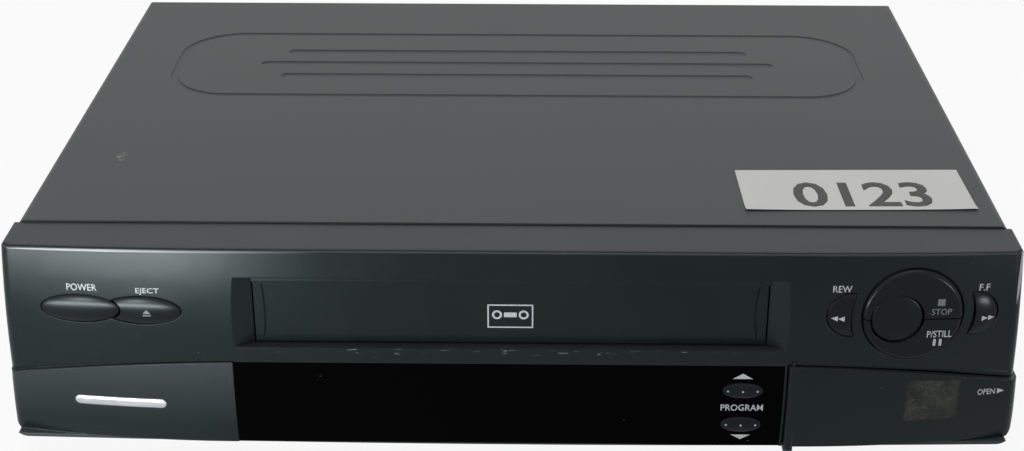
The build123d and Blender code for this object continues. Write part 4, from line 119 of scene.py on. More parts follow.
class RecorderLegends(bpy.types.PropertyGroup):
    """How the printing sits on the mouldings."""

    lift: length_of("Lift", "Gap between the printing and the surface under it", 0.03)
    film: length_of("Film", "Thickness of the ink", 0.05)
    step: length_of("Longest edge", "Edges are divided until none is longer", 0.9, 0.2)


class RecorderFixings(bpy.types.PropertyGroup):
    """Sizes of the pan head screws."""

    head_radius: length_of("Head radius", "Radius of a pan head", 3.0)
    head_height: length_of("Head height", "Height of a pan head", 1.7)
    lip_head_radius: length_of("Lip head radius", "Radius of the heads on the rear lip", 2.4)
    seed: IntProperty(name="Seed", description="How far each screw was turned home", default=7)


class RecorderLabel(bpy.types.PropertyGroup):
    """The paper shelf label on the cover."""

    number: StringProperty(name="Number", description="Plain digits on the label", default="0123")
    width: length_of("Width", "Length of the label along X", 89.0)
    height: length_of("Height", "Length of the label along Y", 37.0)
    centre: FloatVectorProperty(
        name="Centre", description="Middle of the label on the cover", subtype="TRANSLATION",
        size=2, default=(133.9 * MM, -82.9 * MM))
    turn: angle_of("Turn", "Turn about Z", 1.1)
    curl: length_of("Curl", "How far the front corners lift", 0.7)


class RecorderStage(bpy.types.PropertyGroup):
    """Camera, floor and lamps."""

    camera_place: FloatVectorProperty(
        name="Camera", description="Place of the camera", subtype="TRANSLATION",
        default=(9.4 * MM, -707.4 * MM, 388.3 * MM))
    camera_pitch: angle_of("Pitch", "How far the camera looks down", 26.462)
    camera_yaw: angle_of("Yaw", "How far the camera looks to the right", -0.877)
    lens: level_of("Lens", "Focal length in mm on a 36 mm frame", 61.68)
    floor: colour_of("Floor", "Colour of the floor", "#f2f2f2")
    ambient: level_of("Ambient", "Level of the soft light from all round", 0.38)
    top_power: level_of("Top lamp", "Watts of the overhead soft box", 6.5)
    key_power: level_of("Key lamp", "Watts of the lamp in front, left", 1.2)
    fill_power: level_of("Fill lamp", "Watts of the low lamp, front right", 0.45)
    strip_power: level_of("Strip lamp", "Watts of the low strip, front left", 1.6)


# ------------------------------------------------------------------ node helper
def add(tree, kind, inputs=None, **settings):
    """Adds a node; inputs maps a socket's name or number to a value or to another node's output."""
    node = tree.nodes.new(kind)
    for name, value in settings.items():
        setattr(node, name, value)
    for key, value in (inputs or {}).items():
        socket = node.inputs[key]
        if isinstance(value, bpy.types.NodeSocket):
            tree.links.new(value, socket)
        else:
            socket.default_value = value
    return node


def made(tree, kind, inputs=None, **settings):
    """The first output of a node that it adds."""
    return add(tree, kind, inputs, **settings).outputs[0]


def blank(name):
    """A material with an empty tree and its Object coordinates."""
    material = bpy.data.materials.new(name)
    material.use_nodes = True
    tree = material.node_tree
    tree.nodes.clear()
    place = add(tree, "ShaderNodeTexCoord").outputs["Object"]
    return material, tree, place


def close(tree, shader):
    """Links a finished shader to the material's output."""
    add(tree, "ShaderNodeOutputMaterial", {"Surface": shader.outputs[0]})


def skinned(material, tree, inputs):
    """Ends a material with a principled shader and returns it."""
    close(tree, add(tree, "ShaderNodeBsdfPrincipled", inputs))
    return material


def ranged(tree, value, low, high, to_low, to_high):
    """Value mapped from one range to another and held inside it."""
    node = add(tree, "ShaderNodeMapRange", {
        "Value": value, "From Min": low, "From Max": high, "To Min": to_low, "To Max": to_high})
    return node.outputs["Result"]


def times(tree, a, b):
    return made(tree, "ShaderNodeMath", {0: a, 1: b}, operation="MULTIPLY")


def plus(tree, a, b, clamp=True):
    return made(tree, "ShaderNodeMath", {0: a, 1: b}, operation="ADD", use_clamp=clamp)


def spread(tree, value, low, high):
    """Noise turned into a range. Noise hardly leaves 0.3 to 0.7."""
    return ranged(tree, value, 0.3, 0.7, low, high)


def axes_of(tree, vector):
    """The X, Y and Z of a vector."""
    return add(tree, "ShaderNodeSeparateXYZ", {0: vector}).outputs


def stretched(tree, place, *scale):
    """Coordinates that draw a texture out along the axes whose scale is small."""
    return made(tree, "ShaderNodeMapping", {"Vector": place, "Scale": scale})


def bumped(tree, height, strength, depth, normal=None):
    """The normal of a surface with a relief of the given depth."""
    inputs = {"Height": height, "Strength": strength, "Distance": depth}
    if normal is not None:
        inputs["Normal"] = normal
    return made(tree, "ShaderNodeBump", inputs)


def blend_colour(tree, share, a, b):
    """Colour a turned towards b by a share of 0 to 1; each a hex value, a tuple or an output."""
    a, b = (linear(c) if isinstance(c, str) else c for c in (a, b))
    return add(tree, "ShaderNodeMix", {"Factor": share, 6: a, 7: b}, data_type="RGBA").outputs[2]


def laid(tree, base, mask, strength, colour):
    """A colour laid over the base inside a mask, at a strength of 0 to 1."""
    return blend_colour(tree, times(tree, mask, strength), base, colour)


def rgba(colour):
    return (*colour[:3], 1.0)


def toned(colour, factor):
    """A colour made darker or lighter."""
    return rgba([c * factor for c in colour])


def noise(tree, place, grain, detail=2.0, roughness=0.5):
    """Noise whose blotches are about one grain across, in metres."""
    return add(tree, "ShaderNodeTexNoise", {
        "Vector": place, "Scale": 1 / grain, "Detail": detail,
        "Roughness": roughness}).outputs["Fac"]


def specks(tree, place, pitch, radius, share):
    """1 inside small round specks: one to a cell of the pitch, in a share of the cells."""
    cell = add(tree, "ShaderNodeTexVoronoi", {
        "Vector": place, "Scale": 1 / pitch, "Randomness": 1.0})
    core = ranged(tree, cell.outputs["Distance"], radius / pitch * 0.6, radius / pitch, 1, 0)
    pick = axes_of(tree, cell.outputs["Color"])[0]
    kept = made(tree, "ShaderNodeMath", {0: pick, 1: share}, operation="LESS_THAN")
    return times(tree, core, kept)


def facing_up(tree, low=0.25, high=0.95):
    """0 on upright faces and 1 on level ones that look up."""
    normal = add(tree, "ShaderNodeNewGeometry").outputs["Normal"]
    z = axes_of(tree, normal)[2]
    return ranged(tree, z, low, high, 0, 1)


def edges(tree, radius, tight=0.02, wide=0.3):
    """A normal softened over convex edges, and 1 along those edges where the surface is worn."""
    soft = made(tree, "ShaderNodeBevel", {"Radius": radius}, samples=4)
    hard = add(tree, "ShaderNodeNewGeometry").outputs["Normal"]
    same = add(tree, "ShaderNodeVectorMath", {0: soft, 1: hard},
               operation="DOT_PRODUCT").outputs["Value"]
    away = made(tree, "ShaderNodeMath", {0: 1.0, 1: same}, operation="SUBTRACT")
    return soft, ranged(tree, away, tight, wide, 0, 1)


def patch(tree, place, centre, half):
    """1 inside an ellipsoid with soft edges, given by its centre and its half sizes."""
    near = made(tree, "ShaderNodeVectorMath", {0: place, 1: centre}, operation="SUBTRACT")
    unit = made(tree, "ShaderNodeVectorMath", {0: near, 1: half}, operation="DIVIDE")
    far = add(tree, "ShaderNodeVectorMath", {0: unit}, operation="LENGTH").outputs["Value"]
    return ranged(tree, far, 0.8, 1.05, 1, 0)


def inside_box(tree, place, low, high, ragged):
    """1 inside an upright box in X and Z, with its edges moved in by a ragged amount."""
    axes = axes_of(tree, place)
    share = 1.0
    for axis, a, b in ((0, low[0], high[0]), (2, low[1], high[1])):
        for value, edge in ((axes[axis], a), (times(tree, axes[axis], -1.0), -b)):
            into = made(tree, "ShaderNodeMath", {0: value, 1: ragged}, operation="SUBTRACT")
            share = times(tree, share, ranged(tree, into, edge - 0.6 * MM, edge + 0.6 * MM, 0, 1))
    return share


# ------------------------------------------------------------------ finishes
def moulded_abs(name, colour, dust, grain=0.5 * MM, sheen=0.27, film=0.2, rounding=0.8 * MM,
                marks=None):
    """Injection moulded ABS with a fine spark-eroded grain: a soft sheen that fades off, brighter
    along worn edges, with a grey film of dust on whatever looks up. The real grain is 0.1 mm; it is
    drawn at 0.5 mm, the finest that shows."""
    material, tree, place = blank(name)
    cloud = noise(tree, place, 60 * MM, 4)
    fine = noise(tree, place, grain, 2)
    soft, worn = edges(tree, rounding)
    up = facing_up(tree)
    lint = specks(tree, place, 7 * MM, 0.22 * MM, 0.22)
    settled = times(tree, up, spread(tree, cloud, film * 0.75, film))
    dusty = plus(tree, settled, times(tree, lint, 0.35))
    base = blend_colour(tree, ranged(tree, cloud, 0.35, 0.65, 0, 1), toned(colour, 0.9),
                        toned(colour, 1.12))
    base = laid(tree, base, worn, 0.12, toned(colour, 4))
    base = blend_colour(tree, dusty, base, rgba(dust))
    rough = spread(tree, cloud, sheen - 0.03, sheen + 0.04)
    gloss = 0.5
    # marks can paint light and shade into the base colour too, as the face's marks do
    if marks:
        rub, base, dull = marks(tree, place, base)
        rough = plus(tree, rough, rub)
        gloss = ranged(tree, dull, 0, 1, 0.5, 0.1)
    rough = plus(tree, rough, times(tree, dusty, 0.25))
    bump = bumped(tree, fine, 0.06, 0.05 * MM, soft)
    return skinned(material, tree, {
        "Base Color": base, "Roughness": rough, "IOR": 1.22,
        "Specular Tint": (0.86, 0.98, 1.0, 1.0),
        "Specular IOR Level": gloss, "Normal": bump})


def glue_marks(tree, place, base):
    """Matt grey residue and scraped spots where a sticker was peeled from the door."""
    ragged = noise(tree, place, 3 * MM, 3)
    spot = inside_box(tree, place, (149 * MM, 21 * MM), (172 * MM, 41.5 * MM),
                      ranged(tree, ragged, 0, 1, 0, 3 * MM))
    cloud = ranged(tree, noise(tree, place, 7 * MM, 3), 0.35, 0.7, 0.2, 1)
    blot = ranged(tree, noise(tree, place, 1.6 * MM, 6, 0.75), 0.42, 0.7, 0.3, 1)
    torn = times(tree, times(tree, spot, cloud), blot)
    base = laid(tree, base, torn, 0.45, "#4c4b41")
    scraped = ranged(tree, noise(tree, place, 3.4 * MM, 6, 0.8), 0.6, 0.66, 0, 1)
    base = laid(tree, base, times(tree, spot, scraped), 0.25, "#76756c")
    return times(tree, torn, 0.35), base, 0.0


# the shadow line on the lower left of the face falls away from the middle as a parabola
SEAM_START = 92 * MM
SEAM_TOP = 46.6 * MM
SEAM_FALL = 0.86        # per metre


def painted_panel_and_sill_light(tree, place):
    """A share of painted light: a painted sheen on the lower left panel under its shadow line,
    lighter towards the top, and painted light with some dust along the sill, which the overhang
    shades.
    """
    x, _, z = axes_of(tree, place)
    out = plus(tree, times(tree, x, -1.0), -SEAM_START, False)
    seam = plus(tree, times(tree, times(tree, out, out), -SEAM_FALL), SEAM_TOP, False)
    under = ranged(tree, plus(tree, seam, times(tree, z, -1.0), False), 0, 0.5 * MM, 0, 1)
    # painted sheen on the lower left panel, lighter towards its top
    panel = times(tree, under, ranged(tree, x, -104 * MM, -103 * MM, 1, 0))
    panel = times(tree, panel, ranged(tree, z, 18 * MM, 44 * MM, 0.02, 0.32))
    # painted light, with some dust, on the sill under the overhang
    sill = ranged(tree, z, 10.3 * MM, 10.6 * MM, 0.45, 0)
    return plus(tree, panel, sill)


def lip_line(tree, place):
    """1 along the last few millimetres of the level top before it turns down into the face."""
    turned = made(tree, "ShaderNodeBevel", {"Radius": 3.2 * MM}, samples=8)
    ahead = axes_of(tree, turned)[1]
    level = facing_up(tree, 0.93, 0.985)
    top = ranged(tree, axes_of(tree, place)[2], 92.9 * MM, 93.1 * MM, 0, 1)
    return times(tree, times(tree, level, top), ranged(tree, ahead, -0.1, -0.01, 1, 0))


def face_marks_and_painted_light(tree, place, base):
    """Fine pale scratches along the foot of the cassette recess, where cassettes have rubbed it, a
    painted dark reflection along the level top behind the top edge, painted light on the lower left
    panel and the sill, with some dust on the sill, and a painted highlight along the upper left
    edge and down the right corner."""
    band = patch(tree, place, (0, -139 * MM, 52 * MM), (100 * MM, 6 * MM, 1.6 * MM))
    dashes = stretched(tree, place, 0.18, 1, 1)
    nick = ranged(tree, noise(tree, dashes, 0.9 * MM, 3), 0.63, 0.72, 0, 1)
    rub = times(tree, band, nick)
    base = laid(tree, base, rub, 0.4, "#8a8d8d")
    # painted light on the lower left panel and the sill
    base = laid(tree, base, painted_panel_and_sill_light(tree, place), 0.17, "#878d92")
    # painted dark reflection: a dark line on the level top behind the upper edge, standing for the
    # dark surroundings that the rounded edge reflects; it also dulls the gloss there
    painted_dark_reflection = times(tree, lip_line(tree, place), 0.9)
    base = blend_colour(tree, painted_dark_reflection, base, "#0c0c10")
    # painted highlight along the upper left edge, fading off to the right
    edge = patch(tree, place, (-150 * MM, -136.6 * MM, 92.6 * MM), (95 * MM, 2.2 * MM, 0.45 * MM))
    fades = ranged(tree, axes_of(tree, place)[0], -150 * MM, -70 * MM, 0.5, 0)
    base = blend_colour(tree, times(tree, edge, fades), base, "#b4babc")
    # painted highlight down the right corner
    corner = patch(tree, place, (187.9 * MM, -133.9 * MM, 84 * MM), (0.75 * MM, 1.6 * MM, 14 * MM))
    base = laid(tree, base, corner, 0.45, "#c4c8ca")
    return times(tree, rub, 0.2), base, painted_dark_reflection


def painted_steel(colour, dust):
    """Satin stoved paint on folded steel: a faint orange peel, tiny specks and one scuff that shows
    lighter, so the flat top looks evenly grey with a slow change of tone."""
    material, tree, place = blank("Stoved grey paint")
    cloud = noise(tree, place, 120 * MM, 3)
    peel = noise(tree, place, 1.4 * MM, 3)
    soft, worn = edges(tree, 0.4 * MM)
    dots = specks(tree, place, 9 * MM, 0.25 * MM, 0.3)
    dark = specks(tree, place, 21 * MM, 0.35 * MM, 0.2)
    near = patch(tree, place, (-160 * MM, -55 * MM, 94 * MM), (2.4 * MM, 5 * MM, 3 * MM))
    scuff = times(tree, near, ranged(tree, noise(tree, place, 1.1 * MM, 4), 0.5, 0.6, 0, 1))
    base = blend_colour(tree, ranged(tree, cloud, 0.35, 0.65, 0, 1), toned(colour, 0.97),
                        toned(colour, 1.03))
    base = laid(tree, base, facing_up(tree), 0.05, rgba(dust))
    base = laid(tree, base, worn, 0.25, toned(colour, 2.5))
    base = laid(tree, base, dots, 0.3, rgba(dust))
    base = laid(tree, base, dark, 0.4, toned(colour, 0.3))
    base = laid(tree, base, scuff, 0.6, "#8f8f8f")
    rough = spread(tree, cloud, 0.46, 0.5)
    bump = bumped(tree, peel, 0.12, 0.03 * MM, soft)
    return skinned(material, tree, {
        "Base Color": base, "Roughness": rough, "IOR": 1.3, "Normal": bump})


def smoked_acrylic(colour, dust):
    """Deeply smoked acrylic, cast and polished: near black and glossy, with specks and smears."""
    material, tree, place = blank("Smoked acrylic")
    lint = plus(tree, specks(tree, place, 6 * MM, 0.2 * MM, 0.3),
                specks(tree, place, 13 * MM, 0.3 * MM, 0.3))
    wipes = stretched(tree, place, 0.2, 1, 1)
    smear = ranged(tree, noise(tree, wipes, 8 * MM, 4), 0.45, 0.7, 0.0, 0.1)
    base = blend_colour(tree, times(tree, lint, 0.35), rgba(colour), rgba(dust))
    rough = plus(tree, smear, plus(tree, times(tree, lint, 0.4), 0.07))
    return skinned(material, tree, {
        "Base Color": base, "Roughness": rough, "IOR": 1.05})


def zinc_plated_steel():
    """Rolled steel with bright zinc: a cool grey metal, faintly mottled and rolled along X."""
    material, tree, place = blank("Zinc plated steel")
    rolled = stretched(tree, place, 0.06, 1, 1)
    streak = noise(tree, rolled, 0.8 * MM, 4)
    bloom = noise(tree, place, 18 * MM, 4)
    soft, _ = edges(tree, 0.2 * MM)
    base = blend_colour(tree, bloom, "#9a9c9b", "#b9bab6")
    rough = plus(tree, spread(tree, streak, 0.24, 0.36), times(tree, bloom, 0.08))
    bump = bumped(tree, streak, 0.08, 0.02 * MM, soft)
    return skinned(material, tree, {
        "Base Color": base, "Roughness": rough, "Metallic": 1.0, "Normal": bump})


def spring_wire():
    """Drawn spring steel wire: a darker metal with fine marks from the die."""
    material, tree, place = blank("Drawn spring steel")
    drawn = noise(tree, place, 0.3 * MM, 3)
    base = blend_colour(tree, drawn, "#7d7f80", "#a3a5a6")
    return skinned(material, tree, {
        "Base Color": base, "Roughness": spread(tree, drawn, 0.22, 0.34), "Metallic": 1.0})


def plain_moulding(name, dark, light, sheen=0.5, grain=0.6 * MM):
    """Unpainted moulded plastic of the hidden parts: an even colour, a matt grain and some dust."""
    material, tree, place = blank(name)
    fine = noise(tree, place, grain, 2)
    cloud = noise(tree, place, 25 * MM, 3)
    soft, worn = edges(tree, 0.25 * MM)
    base = blend_colour(tree, cloud, dark, light)
    base = laid(tree, base, facing_up(tree), 0.12, "#77756f")
    base = laid(tree, base, worn, 0.15, "#8a8a88")
    rough = spread(tree, cloud, sheen - 0.04, sheen + 0.06)
    bump = bumped(tree, fine, 0.12, 0.05 * MM, soft)
    return skinned(material, tree, {
        "Base Color": base, "Roughness": rough, "IOR": 1.4, "Normal": bump})


def moulded_rubber():
    """Black moulded rubber: matt, and a little grey in patches with bloom."""
    material, tree, place = blank("Moulded rubber")
    bloom = noise(tree, place, 5 * MM, 4)
    fine = noise(tree, place, 0.5 * MM, 2)
    base = blend_colour(tree, bloom, "#151515", "#2b2a29")
    bump = bumped(tree, fine, 0.3, 0.08 * MM)
    return skinned(material, tree, {
        "Base Color": base, "Roughness": spread(tree, bloom, 0.75, 0.9), "IOR": 1.5,
        "Normal": bump})


def phenolic_board():
    """Paper phenolic board: tan brown with darker fibres and scattered soldered joints."""
    material, tree, place = blank("Paper phenolic board")
    fibres = stretched(tree, place, 0.15, 1, 0.15)
    weave = noise(tree, fibres, 0.7 * MM, 4)
    tone = noise(tree, place, 30 * MM, 2)
    joint = specks(tree, place, 4.2 * MM, 0.9 * MM, 0.4)
    base = blend_colour(tree, spread(tree, weave, 0, 1), "#7a5a2c", "#94713c")
    base = laid(tree, base, tone, 0.4, "#5f451f")
    base = blend_colour(tree, joint, base, "#b4b4ae")
    bump = bumped(tree, joint, 0.5, 0.3 * MM)
    return skinned(material, tree, {
        "Base Color": base, "Roughness": ranged(tree, joint, 0, 1, 0.55, 0.25),
        "Metallic": joint, "Normal": bump})


def display_glass():
    """Float glass of a vacuum display: dark, very smooth, with a pale grid of segments behind."""
    material, tree, place = blank("Display glass")
    grid = add(tree, "ShaderNodeTexVoronoi", {
        "Vector": place, "Scale": 1 / (6 * MM), "Randomness": 0.0}, distance="CHEBYCHEV")
    bars = ranged(tree, grid.outputs["Distance"], 0.36, 0.42, 0, 1)
    base = blend_colour(tree, times(tree, bars, 0.5), "#0c1210", "#3a4440")
    return skinned(material, tree, {
        "Base Color": base, "Roughness": spread(tree, noise(tree, place, 9 * MM), 0.03, 0.08),
        "IOR": 1.5})


def turned_aluminium():
    """Fine turned aluminium: a pale metal with close tool marks."""
    material, tree, place = blank("Turned aluminium")
    tool = stretched(tree, place, 0.05, 0.05, 1)
    line = noise(tree, tool, 0.35 * MM, 3)
    base = blend_colour(tree, line, "#c2c3c5", "#d9dadb")
    bump = bumped(tree, line, 0.1, 0.02 * MM)
    return skinned(material, tree, {
        "Base Color": base, "Roughness": spread(tree, line, 0.2, 0.3), "Metallic": 1.0,
        "Normal": bump})


def moulded_acetal():
    """Natural acetal: milky white and waxy, so light goes a little way in."""
    material, tree, place = blank("Natural acetal")
    cloud = noise(tree, place, 6 * MM, 3)
    base = blend_colour(tree, cloud, "#dcd9cf", "#ebe9e1")
    return skinned(material, tree, {
        "Base Color": base, "Roughness": spread(tree, cloud, 0.34, 0.44), "IOR": 1.48,
        "Subsurface Weight": 0.15, "Subsurface Radius": (0.6 * MM, 0.5 * MM, 0.4 * MM),
        "Subsurface Scale": 1.0})


def flat_cable():
    """Flat cable: pale PVC with a core every 1.25 mm across it."""
    material, tree, place = blank("Flat cable")
    across = axes_of(tree, place)[0]
    turns = times(tree, across, 2 * math.pi / (1.25 * MM))
    wave = made(tree, "ShaderNodeMath", {0: turns}, operation="SINE")
    base = blend_colour(tree, ranged(tree, wave, 0.6, 1.0, 0, 0.5), "#b9b7ad", "#8d8b83")
    bump = bumped(tree, wave, 0.4, 0.1 * MM)
    return skinned(material, tree, {
        "Base Color": base, "Roughness": spread(tree, noise(tree, place, 5 * MM), 0.4, 0.5),
        "IOR": 1.5, "Normal": bump})


def pad_ink(name, code):
    """Pad printed ink: flat and slightly broken, more matt than the moulding under it."""
    material, tree, place = blank(name)
    thin = noise(tree, place, 0.5 * MM, 3)
    base = blend_colour(tree, spread(tree, thin, 0.25, 0), code, "#3c3f40")
    return skinned(material, tree, {
        "Base Color": base, "Roughness": spread(tree, thin, 0.4, 0.5), "IOR": 1.3})


def label_paper():
    """Uncoated label paper: off-white with short fibres and faintly greyer patches."""
    material, tree, place = blank("Label paper")
    fibre = noise(tree, place, 0.8 * MM, 5)
    tone = noise(tree, place, 30 * MM, 3)
    base = blend_colour(tree, spread(tree, fibre, 0, 1), "#cfcfcd", "#d5d5d4")
    base = blend_colour(tree, ranged(tree, tone, 0.4, 0.75, 0, 0.2), base, "#bdbcb9")
    bump = bumped(tree, fibre, 0.15, 0.05 * MM)
    return skinned(material, tree, {
        "Base Color": base, "Roughness": spread(tree, fibre, 0.75, 0.85), "IOR": 1.3,
        "Normal": bump})


def bright_foil():
    """Hot stamped silver foil on a moulded bar: bright and brushed along its length."""
    material, tree, place = blank("Hot stamped foil")
    brushed = stretched(tree, place, 0.04, 1, 1)
    line = noise(tree, brushed, 0.5 * MM, 3)
    base = blend_colour(tree, line, "#a9acb2", "#c6c9cf")
    return skinned(material, tree, {
        "Base Color": base, "Roughness": spread(tree, line, 0.2, 0.32), "Metallic": 1.0})


def make_finishes(finishes):
    """One material for each of the record's material slots."""
    fascia, keys, dust = finishes.fascia, finishes.keys, finishes.dust
    return {
        "charcoal_front": moulded_abs("Charcoal ABS", fascia, dust, marks=face_marks_and_painted_light),
        "smoked_window": smoked_acrylic(finishes.window, dust),
        "key_caps": moulded_abs(
            "Satin black ABS", keys, dust, sheen=0.24, film=0.05, rounding=0.4 * MM),
        "grey_painted_steel": painted_steel(finishes.cover, dust),
        "plated_steel": zinc_plated_steel(),
        "spring_steel": spring_wire(),
        "black_moulding": plain_moulding("Black polystyrene", "#1c1d1d", "#252626"),
        "dark_rubber": moulded_rubber(),
        "circuit_board": phenolic_board(),
        "component_black": plain_moulding("Component epoxy", "#141415", "#1e1e20", 0.4, 0.3 * MM),
        "display_glass": display_glass(),
        "socket_mouldings": plain_moulding("Socket moulding", "#181818", "#202021", 0.42),
        "machined_aluminium": turned_aluminium(),
        "white_acetal": moulded_acetal(),
        "flat_cable": flat_cable(),
    }


# ------------------------------------------------------------------ mesh helpers
def surface_of(node):
    """A search tree over a CAD node's faces."""
    mesh = frame["nodes"][node].data
    points = [v.co for v in mesh.vertices]
    faces = [tuple(p.vertices) for p in mesh.polygons]
    return BVHTree.FromPolygons(points, faces)


def touched(surface, x, z, start=CAD_BOX[0].y - 50 * MM):
    """Where a line along Y at x and z, from a start ahead, first meets a surface, or None."""
    return surface.ray_cast(Vector((x, start, z)), Vector((0, 1, 0)))[0]


def piece(name, mesh, material, body):
    """An object made of a finished mesh, dressed and riding on a body."""
    mesh.materials.clear()
    mesh.materials.append(material)
    obj = bpy.data.objects.new(name, mesh)
    bpy.context.scene.collection.objects.link(obj)
    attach(obj, body)
    return obj


def mesh_from(name, build):
    """A mesh filled by build(bm) and given outward normals."""
    bm = bmesh.new()
    build(bm)
    bmesh.ops.remove_doubles(bm, verts=bm.verts, dist=1e-7)
    bmesh.ops.recalc_face_normals(bm, faces=bm.faces)
    mesh = bpy.data.meshes.new(name)
    bm.to_mesh(mesh)
    bm.free()
    return mesh


def woven(name, grid):
    """A sheet of four-sided faces between rows of points."""
    def build(bm):
        rows = [[bm.verts.new(point) for point in row] for row in grid]
        for a, b in zip(rows, rows[1:]):
            for i in range(len(a) - 1):
                bm.faces.new((a[i], a[i + 1], b[i + 1], b[i]))
    return mesh_from(name, build)


def joined(name, meshes):
    """One mesh made of several."""
    bm = bmesh.new()
    for mesh in meshes:
        bm.from_mesh(mesh)
    mesh = bpy.data.meshes.new(name)
    bm.to_mesh(mesh)
    bm.free()
    return mesh


def divided(mesh, longest):
    """The mesh in triangles, divided until no edge is longer than the limit."""
    bm = bmesh.new()
    bm.from_mesh(mesh)
    bmesh.ops.triangulate(bm, faces=bm.faces)
    for _ in range(6):
        long = [e for e in bm.edges if e.calc_length() > longest]
        if not long:
            break
        bmesh.ops.subdivide_edges(bm, edges=long, cuts=1)
        bmesh.ops.triangulate(bm, faces=bm.faces)
    bm.to_mesh(mesh)
    bm.free()


def thickened(mesh, amount, towards):
    """Gives a flat sheet a thickness, so that it is a closed film with normals outwards."""
    bm = bmesh.new()
    bm.from_mesh(mesh)
    lower = bmesh.ops.duplicate(bm, geom=[*bm.verts, *bm.edges, *bm.faces])
    twin = {a: b for a, b in lower["vert_map"].items() if isinstance(a, bmesh.types.BMVert)}
    rim = [e for e in bm.edges if e.is_boundary]
    originals = {v for v in twin if v.index < twin[v].index}
    for v in originals:
        v.co = v.co + towards * amount
    for e in rim:
        a, b = e.verts
        if a in originals and b in originals:
            bm.faces.new((a, b, twin[b], twin[a]))
    bmesh.ops.recalc_face_normals(bm, faces=bm.faces)
    bm.to_mesh(mesh)
    bm.free()


def print_on(mesh, node, legends):
    """Lays a flat mesh, drawn in X and Z, onto the front of a CAD node as a film of ink."""
    divided(mesh, legends.step)
    front = surface_of(node)
    for vertex in mesh.vertices:
        hit = touched(front, vertex.co.x, vertex.co.z)
        if hit is None:
            raise RuntimeError(f"{mesh.name} runs off the edge of {node}")
        vertex.co.y = hit.y - legends.lift
    mesh.update()
    thickened(mesh, legends.film, Vector((0, -1, 0)))


def lettering(name, text, weight):
    """The mesh of a word, lying in X and Z, starting at its lower left corner."""
    curve = bpy.data.curves.new(name, "FONT")
    curve.body = text
    curve.resolution_u = 3
    curve.offset = weight
    holder = bpy.data.objects.new(name, curve)
    bpy.context.scene.collection.objects.link(holder)
    bpy.context.view_layer.update()
    graph = bpy.context.evaluated_depsgraph_get()
    mesh = bpy.data.meshes.new_from_object(holder.evaluated_get(graph))
    bpy.data.objects.remove(holder)
    bpy.data.curves.remove(curve)
    mesh.name = name
    mesh.transform(Matrix.Rotation(math.radians(90), 4, "X"))
    return mesh


def fit(mesh, x0, x1, z0, z1):
    """Moves and scales a mesh so that it just fills a box in X and Z."""
    xs = [v.co.x for v in mesh.vertices]
    zs = [v.co.z for v in mesh.vertices]
    for vertex in mesh.vertices:
        vertex.co.x = x0 + (vertex.co.x - min(xs)) * (x1 - x0) / (max(xs) - min(xs))
        vertex.co.z = z0 + (vertex.co.z - min(zs)) * (z1 - z0) / (max(zs) - min(zs))


def flat_shape(name, outlines):
    """Filled outlines in X and Z; each is a list of corner points."""
    def build(bm):
        for outline in outlines:
            bm.faces.new([bm.verts.new((x, 0, z)) for x, z in outline])
    return mesh_from(name, build)


def rectangle(x0, x1, z0, z1):
    return [(x0, z0), (x1, z0), (x1, z1), (x0, z1)]


def arrow(x, z, long, half):
    """A triangle with its tip at x and z: its length along X and half its width, both negative for
    a tip that points right."""
    return [(x, z), (x + long, z - half), (x + long, z + half)]


def scaled(outlines):
    """Outlines in mm turned into metres."""
    return [[(x * MM, z * MM) for x, z in outline] for outline in outlines]


# ------------------------------------------------------------------ legends
# name, words, body, node, left, right, foot and top in mm
WORDS = (
    ("legend_power", "POWER", "case", "front_panel", -164.9, -153.5, 76.2, 79.1),
    ("legend_eject", "EJECT", "case", "front_panel", -139.0, -130.2, 75.2, 78.0),
    ("legend_rewind", "REW", "case", "front_panel", 118.9, 125.9, 78.4, 81.1),
    ("legend_forward", "F.F", "case", "front_panel", 173.0, 177.1, 78.4, 81.2),
    ("legend_stop", "STOP", "stop_key", "stop_button", 155.9, 163.5, 69.4, 72.0),
    ("legend_still", "P/STILL", "pause_key", "pause_button", 155.1, 164.5, 59.8, 62.7),
    ("legend_program", "PROGRAM", "case", "display_window", 80.2, 96.3, 26.9, 29.8),
    ("legend_open", "OPEN", "door", "control_door", 177.9, 184.7, 32.6, 35.2),
)

# name, body, node and the outlines in mm
SYMBOLS = (
    ("symbol_eject", "eject_key", "eject_button", (
        ((-136.9, 67.8), (-133.8, 67.8), (-135.35, 69.5)), rectangle(-136.9, -133.8, 66.8, 67.3))),
    ("symbol_rewind", "rewind_key", "rewind_button", (
        arrow(118.9, 68.0, 2.4, 1.1), arrow(121.4, 68.0, 2.4, 1.1))),
    ("symbol_forward", "fast_forward_key", "fast_forward_button", (
        arrow(177.5, 67.2, -2.4, -1.1), arrow(180.0, 67.2, -2.4, -1.1))),
    ("symbol_stop", "stop_key", "stop_button", (rectangle(157.8, 160.6, 73.2, 76.0),)),
    ("symbol_pause", "pause_key", "pause_button", (
        rectangle(157.7, 158.7, 56.2, 59.1), rectangle(159.9, 160.9, 56.2, 59.1))),
    ("symbol_program_up", "case", "display_window", (
        ((84.2, 41.0), (91.7, 41.0), (87.95, 43.2)),)),
    ("symbol_program_down", "case", "display_window", (
        ((92.2, 15.7), (84.7, 15.7), (88.45, 13.5)),)),
    ("symbol_open", "door", "control_door", (arrow(188.3, 33.9, -2.8, -1.2),)),
)


# legends that fingers have rubbed faint
FAINT = {"legend_stop", "symbol_stop", "symbol_eject"}


def disc(x, z, radius, corners):
    """Points of a circle."""
    turns = [2 * math.pi * i / corners for i in range(corners)]
    return [(x + radius * math.cos(t), z + radius * math.sin(t)) for t in turns]


